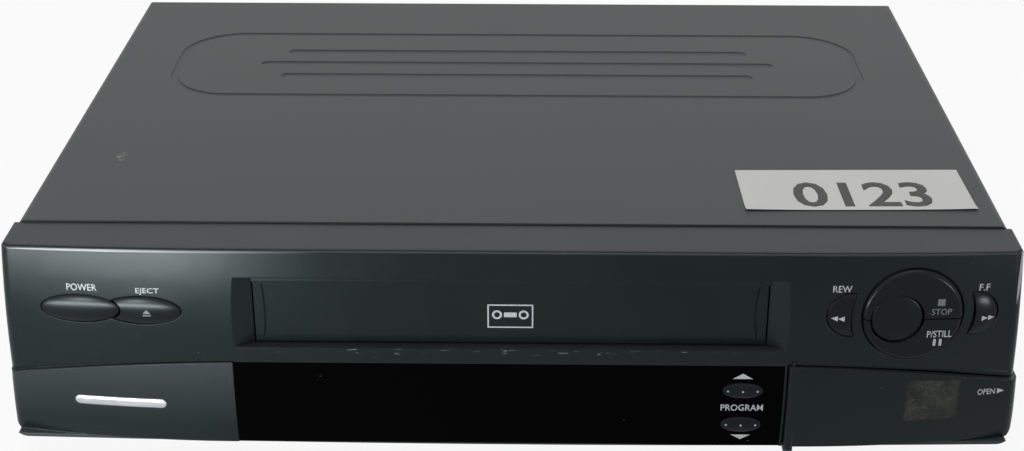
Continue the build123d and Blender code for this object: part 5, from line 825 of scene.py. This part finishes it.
def cassette_mark():
    """Outlines, in mm, of a small tape cassette drawn in line: a body, a window and two reels."""
    wide, high, line = 8.6, 5.0, 0.55
    middle, corners = 65.0, 28
    low, top = middle - high, middle + high
    bars = [
        rectangle(-wide, wide, low, low + line), rectangle(-wide, wide, top - line, top),
        rectangle(-wide, -wide + line, low + line, top - line),
        rectangle(wide - line, wide, low + line, top - line),
        rectangle(-2.4, 2.4, middle - 0.4, middle + 1.6),
    ]
    for x in (-5.0, 5.0):
        ring, hole = (disc(x, middle + 0.6, radius, corners) for radius in (1.9, 1.1))
        for i in range(corners):
            j = (i + 1) % corners
            bars.append([ring[i], ring[j], hole[j], hole[i]])
    return bars


# ------------------------------------------------------------------ geometry node trees
def group_with(name, numbers):
    """An empty geometry tree with a Geometry input, named number inputs and a Material input."""
    tree = bpy.data.node_groups.new(name, "GeometryNodeTree")
    face = tree.interface
    face.new_socket("Geometry", in_out="INPUT", socket_type="NodeSocketGeometry")
    for label, kind, value in numbers:
        socket = face.new_socket(label, in_out="INPUT", socket_type=kind)
        if value is not None:
            socket.default_value = value
    face.new_socket("Material", in_out="INPUT", socket_type="NodeSocketMaterial")
    face.new_socket("Geometry", in_out="OUTPUT", socket_type="NodeSocketGeometry")
    inside = add(tree, "NodeGroupInput").outputs
    return tree, inside


def vector_of(tree, x, y, z):
    return made(tree, "ShaderNodeCombineXYZ", {0: x, 1: y, 2: z})


def moved(tree, shape, how, amount):
    """A shape scaled or shifted, as the name of the input says."""
    return made(tree, "GeometryNodeTransform", {"Geometry": shape, how: amount})


def on_points(tree, inside, shape, turn=None):
    """Ends a group with real, dressed copies of a shape on the points, and returns the group."""
    inputs = {"Points": inside["Geometry"], "Instance": shape}
    if turn is not None:
        inputs["Rotation"] = turn
    copies = made(tree, "GeometryNodeInstanceOnPoints", inputs)
    real = made(tree, "GeometryNodeRealizeInstances", {0: copies})
    add(tree, "NodeGroupOutput", {0: made(tree, "GeometryNodeSetMaterial", {
        "Geometry": real, "Material": inside["Material"]})})
    return tree


# shares of a screw head's radius
DOME_OUT = 1.18         # radius of the dome that rounds the head off
CROSS_LONG = 1.15
CROSS_WIDE = 0.26


def screw_tree():
    """Cross recessed pan head screws, one on each vertex, each turned home by a random angle."""
    tree, inside = group_with("Pan head screws", (
        ("Head Radius", "NodeSocketFloat", 3 * MM), ("Head Height", "NodeSocketFloat", 1.7 * MM),
        ("Shank Radius", "NodeSocketFloat", 1.3 * MM),
        ("Shank Length", "NodeSocketFloat", 3.4 * MM),
        ("Turn", "NodeSocketVector", None), ("Seed", "NodeSocketInt", 7)))
    radius = inside["Head Radius"]
    height = inside["Head Height"]
    domed = times(tree, radius, DOME_OUT)
    reach = vector_of(tree, domed, domed, height)
    ball = made(tree, "GeometryNodeMeshUVSphere", {"Segments": 32, "Rings": 16, "Radius": 1.0})
    dome = moved(tree, ball, "Scale", reach)
    drum = made(tree, "GeometryNodeMeshCylinder", {
        "Vertices": 32, "Radius": radius, "Depth": times(tree, height, 2.0)})
    raised = vector_of(tree, 0.0, 0.0, height)
    drum = moved(tree, drum, "Translation", raised)
    head = add(tree, "GeometryNodeMeshBoolean", {"Mesh 2": dome},
               operation="INTERSECT", solver="EXACT")
    tree.links.new(drum, head.inputs["Mesh 2"])
    long = times(tree, radius, CROSS_LONG)
    thin = times(tree, radius, CROSS_WIDE)
    tops = []
    for wide, deep in ((long, thin), (thin, long)):
        size = vector_of(tree, wide, deep, height)
        bar = made(tree, "GeometryNodeMeshCube", {"Size": size})
        tops.append(moved(tree, bar, "Translation", raised))
    cut = add(tree, "GeometryNodeMeshBoolean", {"Mesh 1": head.outputs[0], "Mesh 2": tops[0]},
              operation="DIFFERENCE", solver="EXACT")
    tree.links.new(tops[1], cut.inputs["Mesh 2"])
    sunk = vector_of(tree, 0.0, 0.0, times(tree, inside["Shank Length"], -0.5))
    shank = made(tree, "GeometryNodeMeshCylinder", {
        "Vertices": 24, "Radius": inside["Shank Radius"], "Depth": inside["Shank Length"]})
    shank = moved(tree, shank, "Translation", sunk)
    screw = add(tree, "GeometryNodeJoinGeometry", {0: cut.outputs[0]})
    tree.links.new(shank, screw.inputs[0])
    any_turn = add(tree, "FunctionNodeRandomValue", {
        2: 0.0, 3: math.pi / 2, "Seed": inside["Seed"]}, data_type="FLOAT").outputs[1]
    own = vector_of(tree, 0.0, 0.0, any_turn)
    facing = made(tree, "FunctionNodeEulerToRotation", {0: inside["Turn"]})
    spin = made(tree, "FunctionNodeEulerToRotation", {0: own})
    both = made(tree, "FunctionNodeRotateRotation", {"Rotation": facing, "Rotate By": spin},
               rotation_space="LOCAL")
    return on_points(tree, inside, screw.outputs[0], both)


def collar_tree():
    """A turned ring on each vertex, such as the coloured insulator round a phono socket."""
    tree, inside = group_with("Socket collars", (
        ("Radius", "NodeSocketFloat", 4.6 * MM), ("Wall", "NodeSocketFloat", 0.5 * MM),
        ("Turn", "NodeSocketVector", None)))
    path, profile = (
        made(tree, "GeometryNodeCurvePrimitiveCircle", {
            "Resolution": corners, "Radius": inside[size]})
        for corners, size in ((40, "Radius"), (10, "Wall")))
    ring = made(tree, "GeometryNodeCurveToMesh", {"Curve": path, "Profile Curve": profile})
    facing = made(tree, "FunctionNodeEulerToRotation", {0: inside["Turn"]})
    return on_points(tree, inside, ring, facing)


def bead_tree():
    """Small flattened beads, one on each vertex, such as the touch dots on a key."""
    tree, inside = group_with("Touch beads", (
        ("Bead Radius", "NodeSocketFloat", 0.4 * MM),
        ("Bead Height", "NodeSocketFloat", 0.25 * MM)))
    ball = made(tree, "GeometryNodeMeshUVSphere", {"Segments": 16, "Rings": 8, "Radius": 1.0})
    size = made(tree, "ShaderNodeCombineXYZ", {
        0: inside["Bead Radius"], 1: inside["Bead Height"], 2: inside["Bead Radius"]})
    bead = moved(tree, ball, "Scale", size)
    return on_points(tree, inside, bead)


def grown(name, tree, points, material, values=None):
    """The plain mesh that a geometry tree grows on a list of points."""
    cloud = bpy.data.meshes.new(name)
    cloud.from_pydata([tuple(p) for p in points], [], [])
    holder = bpy.data.objects.new(name, cloud)
    bpy.context.scene.collection.objects.link(holder)
    modifier = holder.modifiers.new("Grow", "NODES")
    modifier.node_group = tree
    wanted = dict(values or {}, Material=material)
    for item in tree.interface.items_tree:
        if item.item_type == "SOCKET" and item.in_out == "INPUT" and item.name in wanted:
            modifier[item.identifier] = wanted[item.name]
    holder.update_tag()
    bpy.context.view_layer.update()
    graph = bpy.context.evaluated_depsgraph_get()
    mesh = bpy.data.meshes.new_from_object(holder.evaluated_get(graph))
    holder.modifiers.clear()
    bpy.data.objects.remove(holder)
    bpy.data.meshes.remove(cloud)
    mesh.name = name
    if not mesh.polygons:
        raise RuntimeError(f"{name} came out empty")
    return mesh


# ------------------------------------------------------------------ operators
class RECORDER_OT_finishes(bpy.types.Operator):
    """Give every CAD node the finish of its material slot."""

    bl_idname = "recorder.finishes"
    bl_label = "Finishes"

    def execute(self, context):
        finishes = context.scene.recorder_finishes
        materials = make_finishes(finishes)
        door = moulded_abs("Charcoal ABS, door", finishes.fascia, finishes.dust, marks=glue_marks)
        own = {"control_door": door}
        for part in frame["record"]["subparts"]:
            node = frame["nodes"][part["node"]]
            material = own.get(part["node"], materials[part["material_slot"]])
            for slot in node.material_slots:
                slot.material = material
        return {"FINISHED"}


class RECORDER_OT_legends(bpy.types.Operator):
    """Print the words, the symbols and the cassette mark on the front of the recorder."""

    bl_idname = "recorder.legends"
    bl_label = "Legends"

    def execute(self, context):
        legends = context.scene.recorder_legends
        ink = pad_ink("Pad printed ink", "#909496")
        faint = pad_ink("Pad printed ink, worn", "#54595b")
        for name, text, body, node, x0, x1, z0, z1 in WORDS:
            mesh = lettering(name, text, 0.012)
            fit(mesh, x0 * MM, x1 * MM, z0 * MM, z1 * MM)
            print_on(mesh, node, legends)
            piece(name, mesh, faint if name in FAINT else ink, body)
        for name, body, node, outlines in SYMBOLS:
            mesh = flat_shape(name, scaled(outlines))
            print_on(mesh, node, legends)
            piece(name, mesh, faint if name in FAINT else ink, body)
        mark = flat_shape("flap_cassette_mark", scaled(cassette_mark()))
        print_on(mark, "cassette_flap", legends)
        piece("flap_cassette_mark", mark, ink, "flap")
        return {"FINISHED"}


class RECORDER_OT_fixings(bpy.types.Operator):
    """Put cross recessed screws in the cover, the rear lip and the tape deck."""

    bl_idname = "recorder.fixings"
    bl_label = "Screws"

    def execute(self, context):
        fixings = context.scene.recorder_fixings
        zinc = frame["nodes"]["deck_screws"].material_slots[0].material
        tree = screw_tree()
        shank_radius, cover_shank, lip_shank = 1.25 * MM, 3.4 * MM, 3.0 * MM
        lip_drop, deck_sunk, deck_radius = 3.9 * MM, 2 * MM, 2.8 * MM
        low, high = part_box("cover_screws")
        rows = self.centres(frame["nodes"]["cover_screws"])
        middle = (low.z + high.z) / 2
        sides = []
        for side, x in ((-1, low.x), (1, high.x)):
            points = [Vector((x - side * fixings.head_height, y, middle)) for y in rows]
            sides.append((points, (0, side * math.pi / 2, 0)))
        rear_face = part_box("top_cover")[1]
        rear = [Vector((x * MM, rear_face.y, rear_face.z - lip_drop)) for x in (-150, -50, 50, 150)]
        low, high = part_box("deck_screws")
        corners = self.corners(frame["nodes"]["deck_screws"])
        deck = [Vector((x, y, high.z - deck_sunk)) for x, y in corners]
        deck_shank = high.z - low.z - deck_sunk
        sets = (
            ("cover_screw_heads", sides, fixings.head_radius, cover_shank, "cover_screws"),
            ("rear_lip_screws", [(rear, (-math.pi / 2, 0, 0))], fixings.lip_head_radius,
             lip_shank, None),
            ("deck_screw_heads", [(deck, (0, 0, 0))], deck_radius, deck_shank, "deck_screws"),
        )
        for name, groups, radius, long, stands_for in sets:
            meshes = [grown(name, tree, points, zinc, {
                "Head Radius": radius, "Head Height": fixings.head_height,
                "Shank Radius": shank_radius, "Shank Length": long, "Turn": turn,
                "Seed": fixings.seed}) for points, turn in groups]
            screws = piece(name, joined(name, meshes), zinc, "case")
            if stands_for:
                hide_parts(stands_for)
        return {"FINISHED"}

    @staticmethod
    def centres(node):
        """Middles, along Y, of a node's groups of points."""
        values = sorted(v.co.y for v in node.data.vertices)
        groups = [[values[0]]]
        for value in values[1:]:
            if value - groups[-1][-1] > 10 * MM:
                groups.append([])
            groups[-1].append(value)
        return [(g[0] + g[-1]) / 2 for g in groups]

    @staticmethod
    def corners(node):
        """Middle of each screw of a node whose screws stand in its corners, in X and Y."""
        found = {}
        for vertex in node.data.vertices:
            x, y = vertex.co.xy
            found.setdefault((x > 0, y > 0), []).append((x, y))
        return [[(min(line) + max(line)) / 2 for line in zip(*group)] for group in found.values()]


# name, colour and place in mm of each collar
REAR_COLLARS = (("rear_collar_left", "white", 96.0, 44.0), ("rear_collar_right", "red", 96.0, 28.0))
FRONT_COLLARS = (
    ("front_collar_video", "yellow", 142.0, 27.0), ("front_collar_left", "white", 157.0, 27.0),
    ("front_collar_right", "red", 172.0, 27.0))


class RECORDER_OT_collars(bpy.types.Operator):
    """Fit the coloured collars of the phono sockets, front and rear."""

    bl_idname = "recorder.collars"
    bl_label = "Socket collars"

    def execute(self, context):
        tree = collar_tree()
        colours = {"white": "#c9c6bd", "red": "#8e1c1a", "yellow": "#b8902a"}
        inks = {name: plain_moulding(f"Collar moulding, {name}", code, code, 0.4)
                for name, code in colours.items()}

        def collar(name, colour, place, radius, wall):
            mesh = grown(name, tree, [place], inks[colour], {
                "Radius": radius, "Wall": wall, "Turn": (math.pi / 2, 0, 0)})
            piece(name, mesh, inks[colour], "case")

        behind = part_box("rear_panel")[1].y + 0.35 * MM
        for name, colour, x, z in REAR_COLLARS:
            collar(name, colour, (x * MM, behind, z * MM), 4.75 * MM, 0.55 * MM)
        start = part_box("front_av_sockets")[0].y - 20 * MM
        sockets = surface_of("front_av_sockets")
        flange = 4.2 * MM
        for name, colour, x, z in FRONT_COLLARS:
            seat = touched(sockets, x * MM, z * MM + flange, start)
            collar(name, colour, (x * MM, seat.y, z * MM), 3.6 * MM, 0.45 * MM)
        return {"FINISHED"}


class RECORDER_OT_beads(bpy.types.Operator):
    """Set three small touch beads on each programme key."""

    bl_idname = "recorder.beads"
    bl_label = "Touch beads"

    def execute(self, context):
        tree = bead_tree()
        # the pale ink on the bead tops is a painted glint, where the glossy bumps would catch the
        # light, not wear
        worn = pad_ink("Worn bead tops", "#80868a")
        for way in ("up", "down"):
            node = f"program_{way}_button"
            low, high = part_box(node)
            middle = (low + high) / 2
            cap = surface_of(node)
            pitch = 5.6 * MM
            points = [touched(cap, middle.x + step * pitch, middle.z) for step in (-1, 0, 1)]
            mesh = grown(f"program_{way}_beads", tree, points, worn, {
                "Bead Radius": 0.45 * MM, "Bead Height": 0.25 * MM})
            piece(f"program_{way}_beads", mesh, worn, f"program_{way}_key")
        return {"FINISHED"}


class RECORDER_OT_badge(bpy.types.Operator):
    """Fix the blank silver bar to the lower left of the face."""

    bl_idname = "recorder.badge"
    bl_label = "Blank badge"

    def execute(self, context):
        front = surface_of("front_panel")
        x0, x1, z0, z1 = -167.4 * MM, -131.6 * MM, 25.6 * MM, 29.8 * MM
        radius = (z1 - z0) / 2
        rows, columns, proud = 8, 48, 0.55 * MM

        def half_height(x):
            out = max(x0 + radius - x, x - x1 + radius, 0)
            return math.sqrt(max(radius ** 2 - out ** 2, 1e-12))

        def point(column, row):
            """A point of the bar, which rises from a quarter of its height at the rim."""
            x = x0 + (x1 - x0) * (1 - math.cos(math.pi * column / columns)) / 2
            across = 2 * row / rows - 1
            z = (z0 + z1) / 2 + across * half_height(x)
            rim = min(1.0, (1 - abs(across)) * 2.2) * min(1.0, half_height(x) / radius * 1.3)
            return (x, touched(front, x, z).y - proud * (0.25 + 0.75 * rim), z)

        grid = [[point(column, row) for row in range(rows + 1)] for column in range(columns + 1)]
        mesh = woven("blank_badge", grid)
        thickened(mesh, proud * 0.2, Vector((0, -1, 0)))
        for polygon in mesh.polygons:
            polygon.use_smooth = True
        piece("blank_badge", mesh, bright_foil(), "case")
        return {"FINISHED"}


class RECORDER_OT_webs(bpy.types.Operator):
    """Close the slots between the ends of the fascia and the sides of the cover with thin webs."""

    bl_idname = "recorder.webs"
    bl_label = "Fascia end webs"

    def execute(self, context):
        wing = surface_of("front_panel")
        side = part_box("top_cover")[1].x - 1.0 * MM
        back, thick = -114.75 * MM, 0.9 * MM
        foot, pitch, steps = 11.5 * MM, 1.6 * MM, 40
        reach, least, bite = 12 * MM, 1.3 * MM, 0.2 * MM

        def build(bm):
            for hand in (-1, 1):
                rows = []
                for step in range(steps):
                    start = Vector((hand * side, back, foot + pitch * step))
                    hit = wing.ray_cast(start, Vector((hand, 0, 0)), reach)[0]
                    if hit is None or abs(hit.x) - side < least:
                        continue
                    out = hit.x + hand * bite
                    outline = rectangle(start.x, out, back - thick, back)
                    rows.append([bm.verts.new((x, y, start.z)) for x, y in outline])
                if len(rows) < 2:
                    raise RuntimeError("the fascia has no wing beside the cover")
                for a, b in zip(rows, rows[1:]):
                    for i in range(4):
                        j = (i + 1) % 4
                        bm.faces.new((a[i], a[j], b[j], b[i]))
                bm.faces.new(rows[0])
                bm.faces.new(rows[-1])

        plastic = frame["nodes"]["front_panel"].material_slots[0].material
        mesh = mesh_from("fascia_end_webs", build)
        piece("fascia_end_webs", mesh, plastic, "case")
        return {"FINISHED"}


class RECORDER_OT_label(bpy.types.Operator):
    """Stick the paper shelf label with its plain number on the cover."""

    bl_idname = "recorder.label"
    bl_label = "Shelf label"

    def execute(self, context):
        label = context.scene.recorder_label
        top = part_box("top_cover")[1].z
        columns, rows = 60, 26
        glue, paper_thick, toner_thick = 0.06 * MM, 0.1 * MM, 0.02 * MM
        placed = Matrix.Translation((*label.centre, 0)) @ Matrix.Rotation(label.turn, 4, "Z")

        def height(x, y):
            """Height of the paper's underside, x and y from its middle; the front corners curl."""
            u, v = x / label.width + 0.5, y / label.height + 0.5
            corner = max(0.0, 1 - v * 5) ** 2 * (0.35 + 0.65 * abs(2 * u - 1) ** 3)
            return top + glue + label.curl * corner

        grid = []
        for row in range(rows + 1):
            y = (row / rows - 0.5) * label.height
            xs = [(column / columns - 0.5) * label.width for column in range(columns + 1)]
            grid.append([placed @ Vector((x, y, height(x, y))) for x in xs])
        paper = woven("shelf_label", grid)
        thickened(paper, paper_thick, Vector((0, 0, 1)))
        piece("shelf_label", paper, label_paper(), "case")
        digits = lettering("shelf_label_number", label.number, 0.02)
        fit(digits, -24.3 * MM, 29.0 * MM, -15.6 * MM, 6.8 * MM)
        digits.transform(Matrix.Rotation(math.radians(-90), 4, "X"))
        divided(digits, 1.5 * MM)
        for vertex in digits.vertices:
            vertex.co.z = height(vertex.co.x, vertex.co.y) + paper_thick + toner_thick
        digits.transform(placed)
        thickened(digits, toner_thick, Vector((0, 0, 1)))
        piece("shelf_label_number", digits, pad_ink("Laser toner", "#3f3f3f"), "case")
        return {"FINISHED"}


# name, setting of its power, place, point it looks at, width and height, in metres
LAMPS = (
    ("Top soft box", "top_power", (0.02, 0.1, 1.25), (0, 0, 0.05), 1.2, 0.9),
    ("Front key lamp", "key_power", (-0.32, -0.6, 0.14), (-0.13, -0.137, 0.08), 0.08, 0.08),
    ("Low fill lamp", "fill_power", (0.385, -0.41, 0.035), (0.178, -0.136, 0.075), 0.07, 0.05),
    ("Low strip lamp", "strip_power", (-0.255, -0.395, 0.026), (-0.15, -0.135, 0.088), 0.21, 0.042),
)
FLOOR_HALF = 6.0
FLOOR_GLOW = 0.88       # how far the floor, as seen, is turned to plain white
WHITE = (1, 1, 1, 1)


class RECORDER_OT_stage(bpy.types.Operator):
    """Set up the floor, the soft studio light and the camera."""

    bl_idname = "recorder.stage"
    bl_label = "Stage"

    def execute(self, context):
        stage = context.scene.recorder_stage
        self.floor(stage)
        self.sky(context.scene, stage)
        for name, power, place, target, wide, high in LAMPS:
            self.lamp(name, getattr(stage, power), place, target, wide, high)
        camera = bpy.data.cameras.new("Camera")
        camera.lens = stage.lens
        camera.sensor_width = 36
        camera.clip_start = 0.01
        holder = bpy.data.objects.new("Camera", camera)
        holder.location = stage.camera_place
        holder.rotation_euler = (math.pi / 2 - stage.camera_pitch, 0, -stage.camera_yaw)
        context.scene.collection.objects.link(holder)
        context.scene.camera = holder
        context.scene.view_settings.view_transform = "Standard"
        return {"FINISHED"}

    @staticmethod
    def seen(tree):
        """1 for rays from the camera and rays that reflect or pass, 0 for those that light."""
        ray = add(tree, "ShaderNodeLightPath").outputs
        mirrored = plus(tree, ray["Is Glossy Ray"], ray["Is Transmission Ray"])
        return plus(tree, ray["Is Camera Ray"], mirrored)

    def floor(self, stage):
        mesh = bpy.data.meshes.new("Floor")
        corners = rectangle(-FLOOR_HALF, FLOOR_HALF, -FLOOR_HALF, FLOOR_HALF)
        mesh.from_pydata([(x, y, 0) for x, y in corners], [], [(0, 1, 2, 3)])
        obj = bpy.data.objects.new("Floor", mesh)
        bpy.context.scene.collection.objects.link(obj)
        material, tree, _ = blank("Pale floor")
        board = add(tree, "ShaderNodeBsdfDiffuse", {"Color": rgba(stage.floor)})
        glow = add(tree, "ShaderNodeEmission", {"Color": WHITE, "Strength": 1.0})
        share = times(tree, self.seen(tree), FLOOR_GLOW)
        close(tree, add(tree, "ShaderNodeMixShader", {
            0: share, 1: board.outputs[0], 2: glow.outputs[0]}))
        mesh.materials.append(material)

    def sky(self, scene, stage):
        world = bpy.data.worlds.new("Studio")
        world.use_nodes = True
        tree = world.node_tree
        tree.nodes.clear()
        soft = add(tree, "ShaderNodeBackground", {"Color": WHITE, "Strength": stage.ambient})
        white = add(tree, "ShaderNodeBackground", {"Color": WHITE, "Strength": 1.0})
        mix = add(tree, "ShaderNodeMixShader", {
            0: self.seen(tree), 1: soft.outputs[0], 2: white.outputs[0]})
        add(tree, "ShaderNodeOutputWorld", {"Surface": mix.outputs[0]})
        scene.world = world

    @staticmethod
    def lamp(name, watts, place, target, wide, high):
        light = bpy.data.lights.new(name, "AREA")
        light.shape = "RECTANGLE"
        light.size = wide
        light.size_y = high
        light.energy = watts
        obj = bpy.data.objects.new(name, light)
        obj.location = place
        obj.rotation_euler = (Vector(target) - Vector(place)).to_track_quat("-Z", "Y").to_euler()
        obj.visible_camera = False
        bpy.context.scene.collection.objects.link(obj)


class RECORDER_PT_sidebar(bpy.types.Panel):
    """Buttons and settings of the recorder, in the 3D view's sidebar."""

    bl_idname = "RECORDER_PT_sidebar"
    bl_label = "Recorder"
    bl_space_type = "VIEW_3D"
    bl_region_type = "UI"
    bl_category = "Recorder"

    def draw(self, context):
        for operator in STEPS:
            self.layout.operator(operator.bl_idname)
        for group in ("finishes", "legends", "fixings", "label", "stage"):
            settings = getattr(context.scene, f"recorder_{group}")
            box = self.layout.box()
            for name in settings.bl_rna.properties.keys():
                if name not in ("rna_type", "name"):
                    box.prop(settings, name)


SETTINGS = {
    "recorder_finishes": RecorderFinishes,
    "recorder_legends": RecorderLegends,
    "recorder_fixings": RecorderFixings,
    "recorder_label": RecorderLabel,
    "recorder_stage": RecorderStage,
}
STEPS = (
    RECORDER_OT_finishes,
    RECORDER_OT_legends,
    RECORDER_OT_fixings,
    RECORDER_OT_collars,
    RECORDER_OT_beads,
    RECORDER_OT_badge,
    RECORDER_OT_webs,
    RECORDER_OT_label,
    RECORDER_OT_stage,
)


def register():
    for kind in (*SETTINGS.values(), *STEPS, RECORDER_PT_sidebar):
        bpy.utils.register_class(kind)
    for name, kind in SETTINGS.items():
        setattr(bpy.types.Scene, name, PointerProperty(type=kind))


def unregister():
    for name in SETTINGS:
        delattr(bpy.types.Scene, name)
    for kind in reversed((*SETTINGS.values(), *STEPS, RECORDER_PT_sidebar)):
        bpy.utils.unregister_class(kind)


def main():
    """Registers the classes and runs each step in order."""
    register()
    for step in STEPS:
        group, name = step.bl_idname.split(".")
        getattr(getattr(bpy.ops, group), name)()


if __name__ == "__main__":
    main()
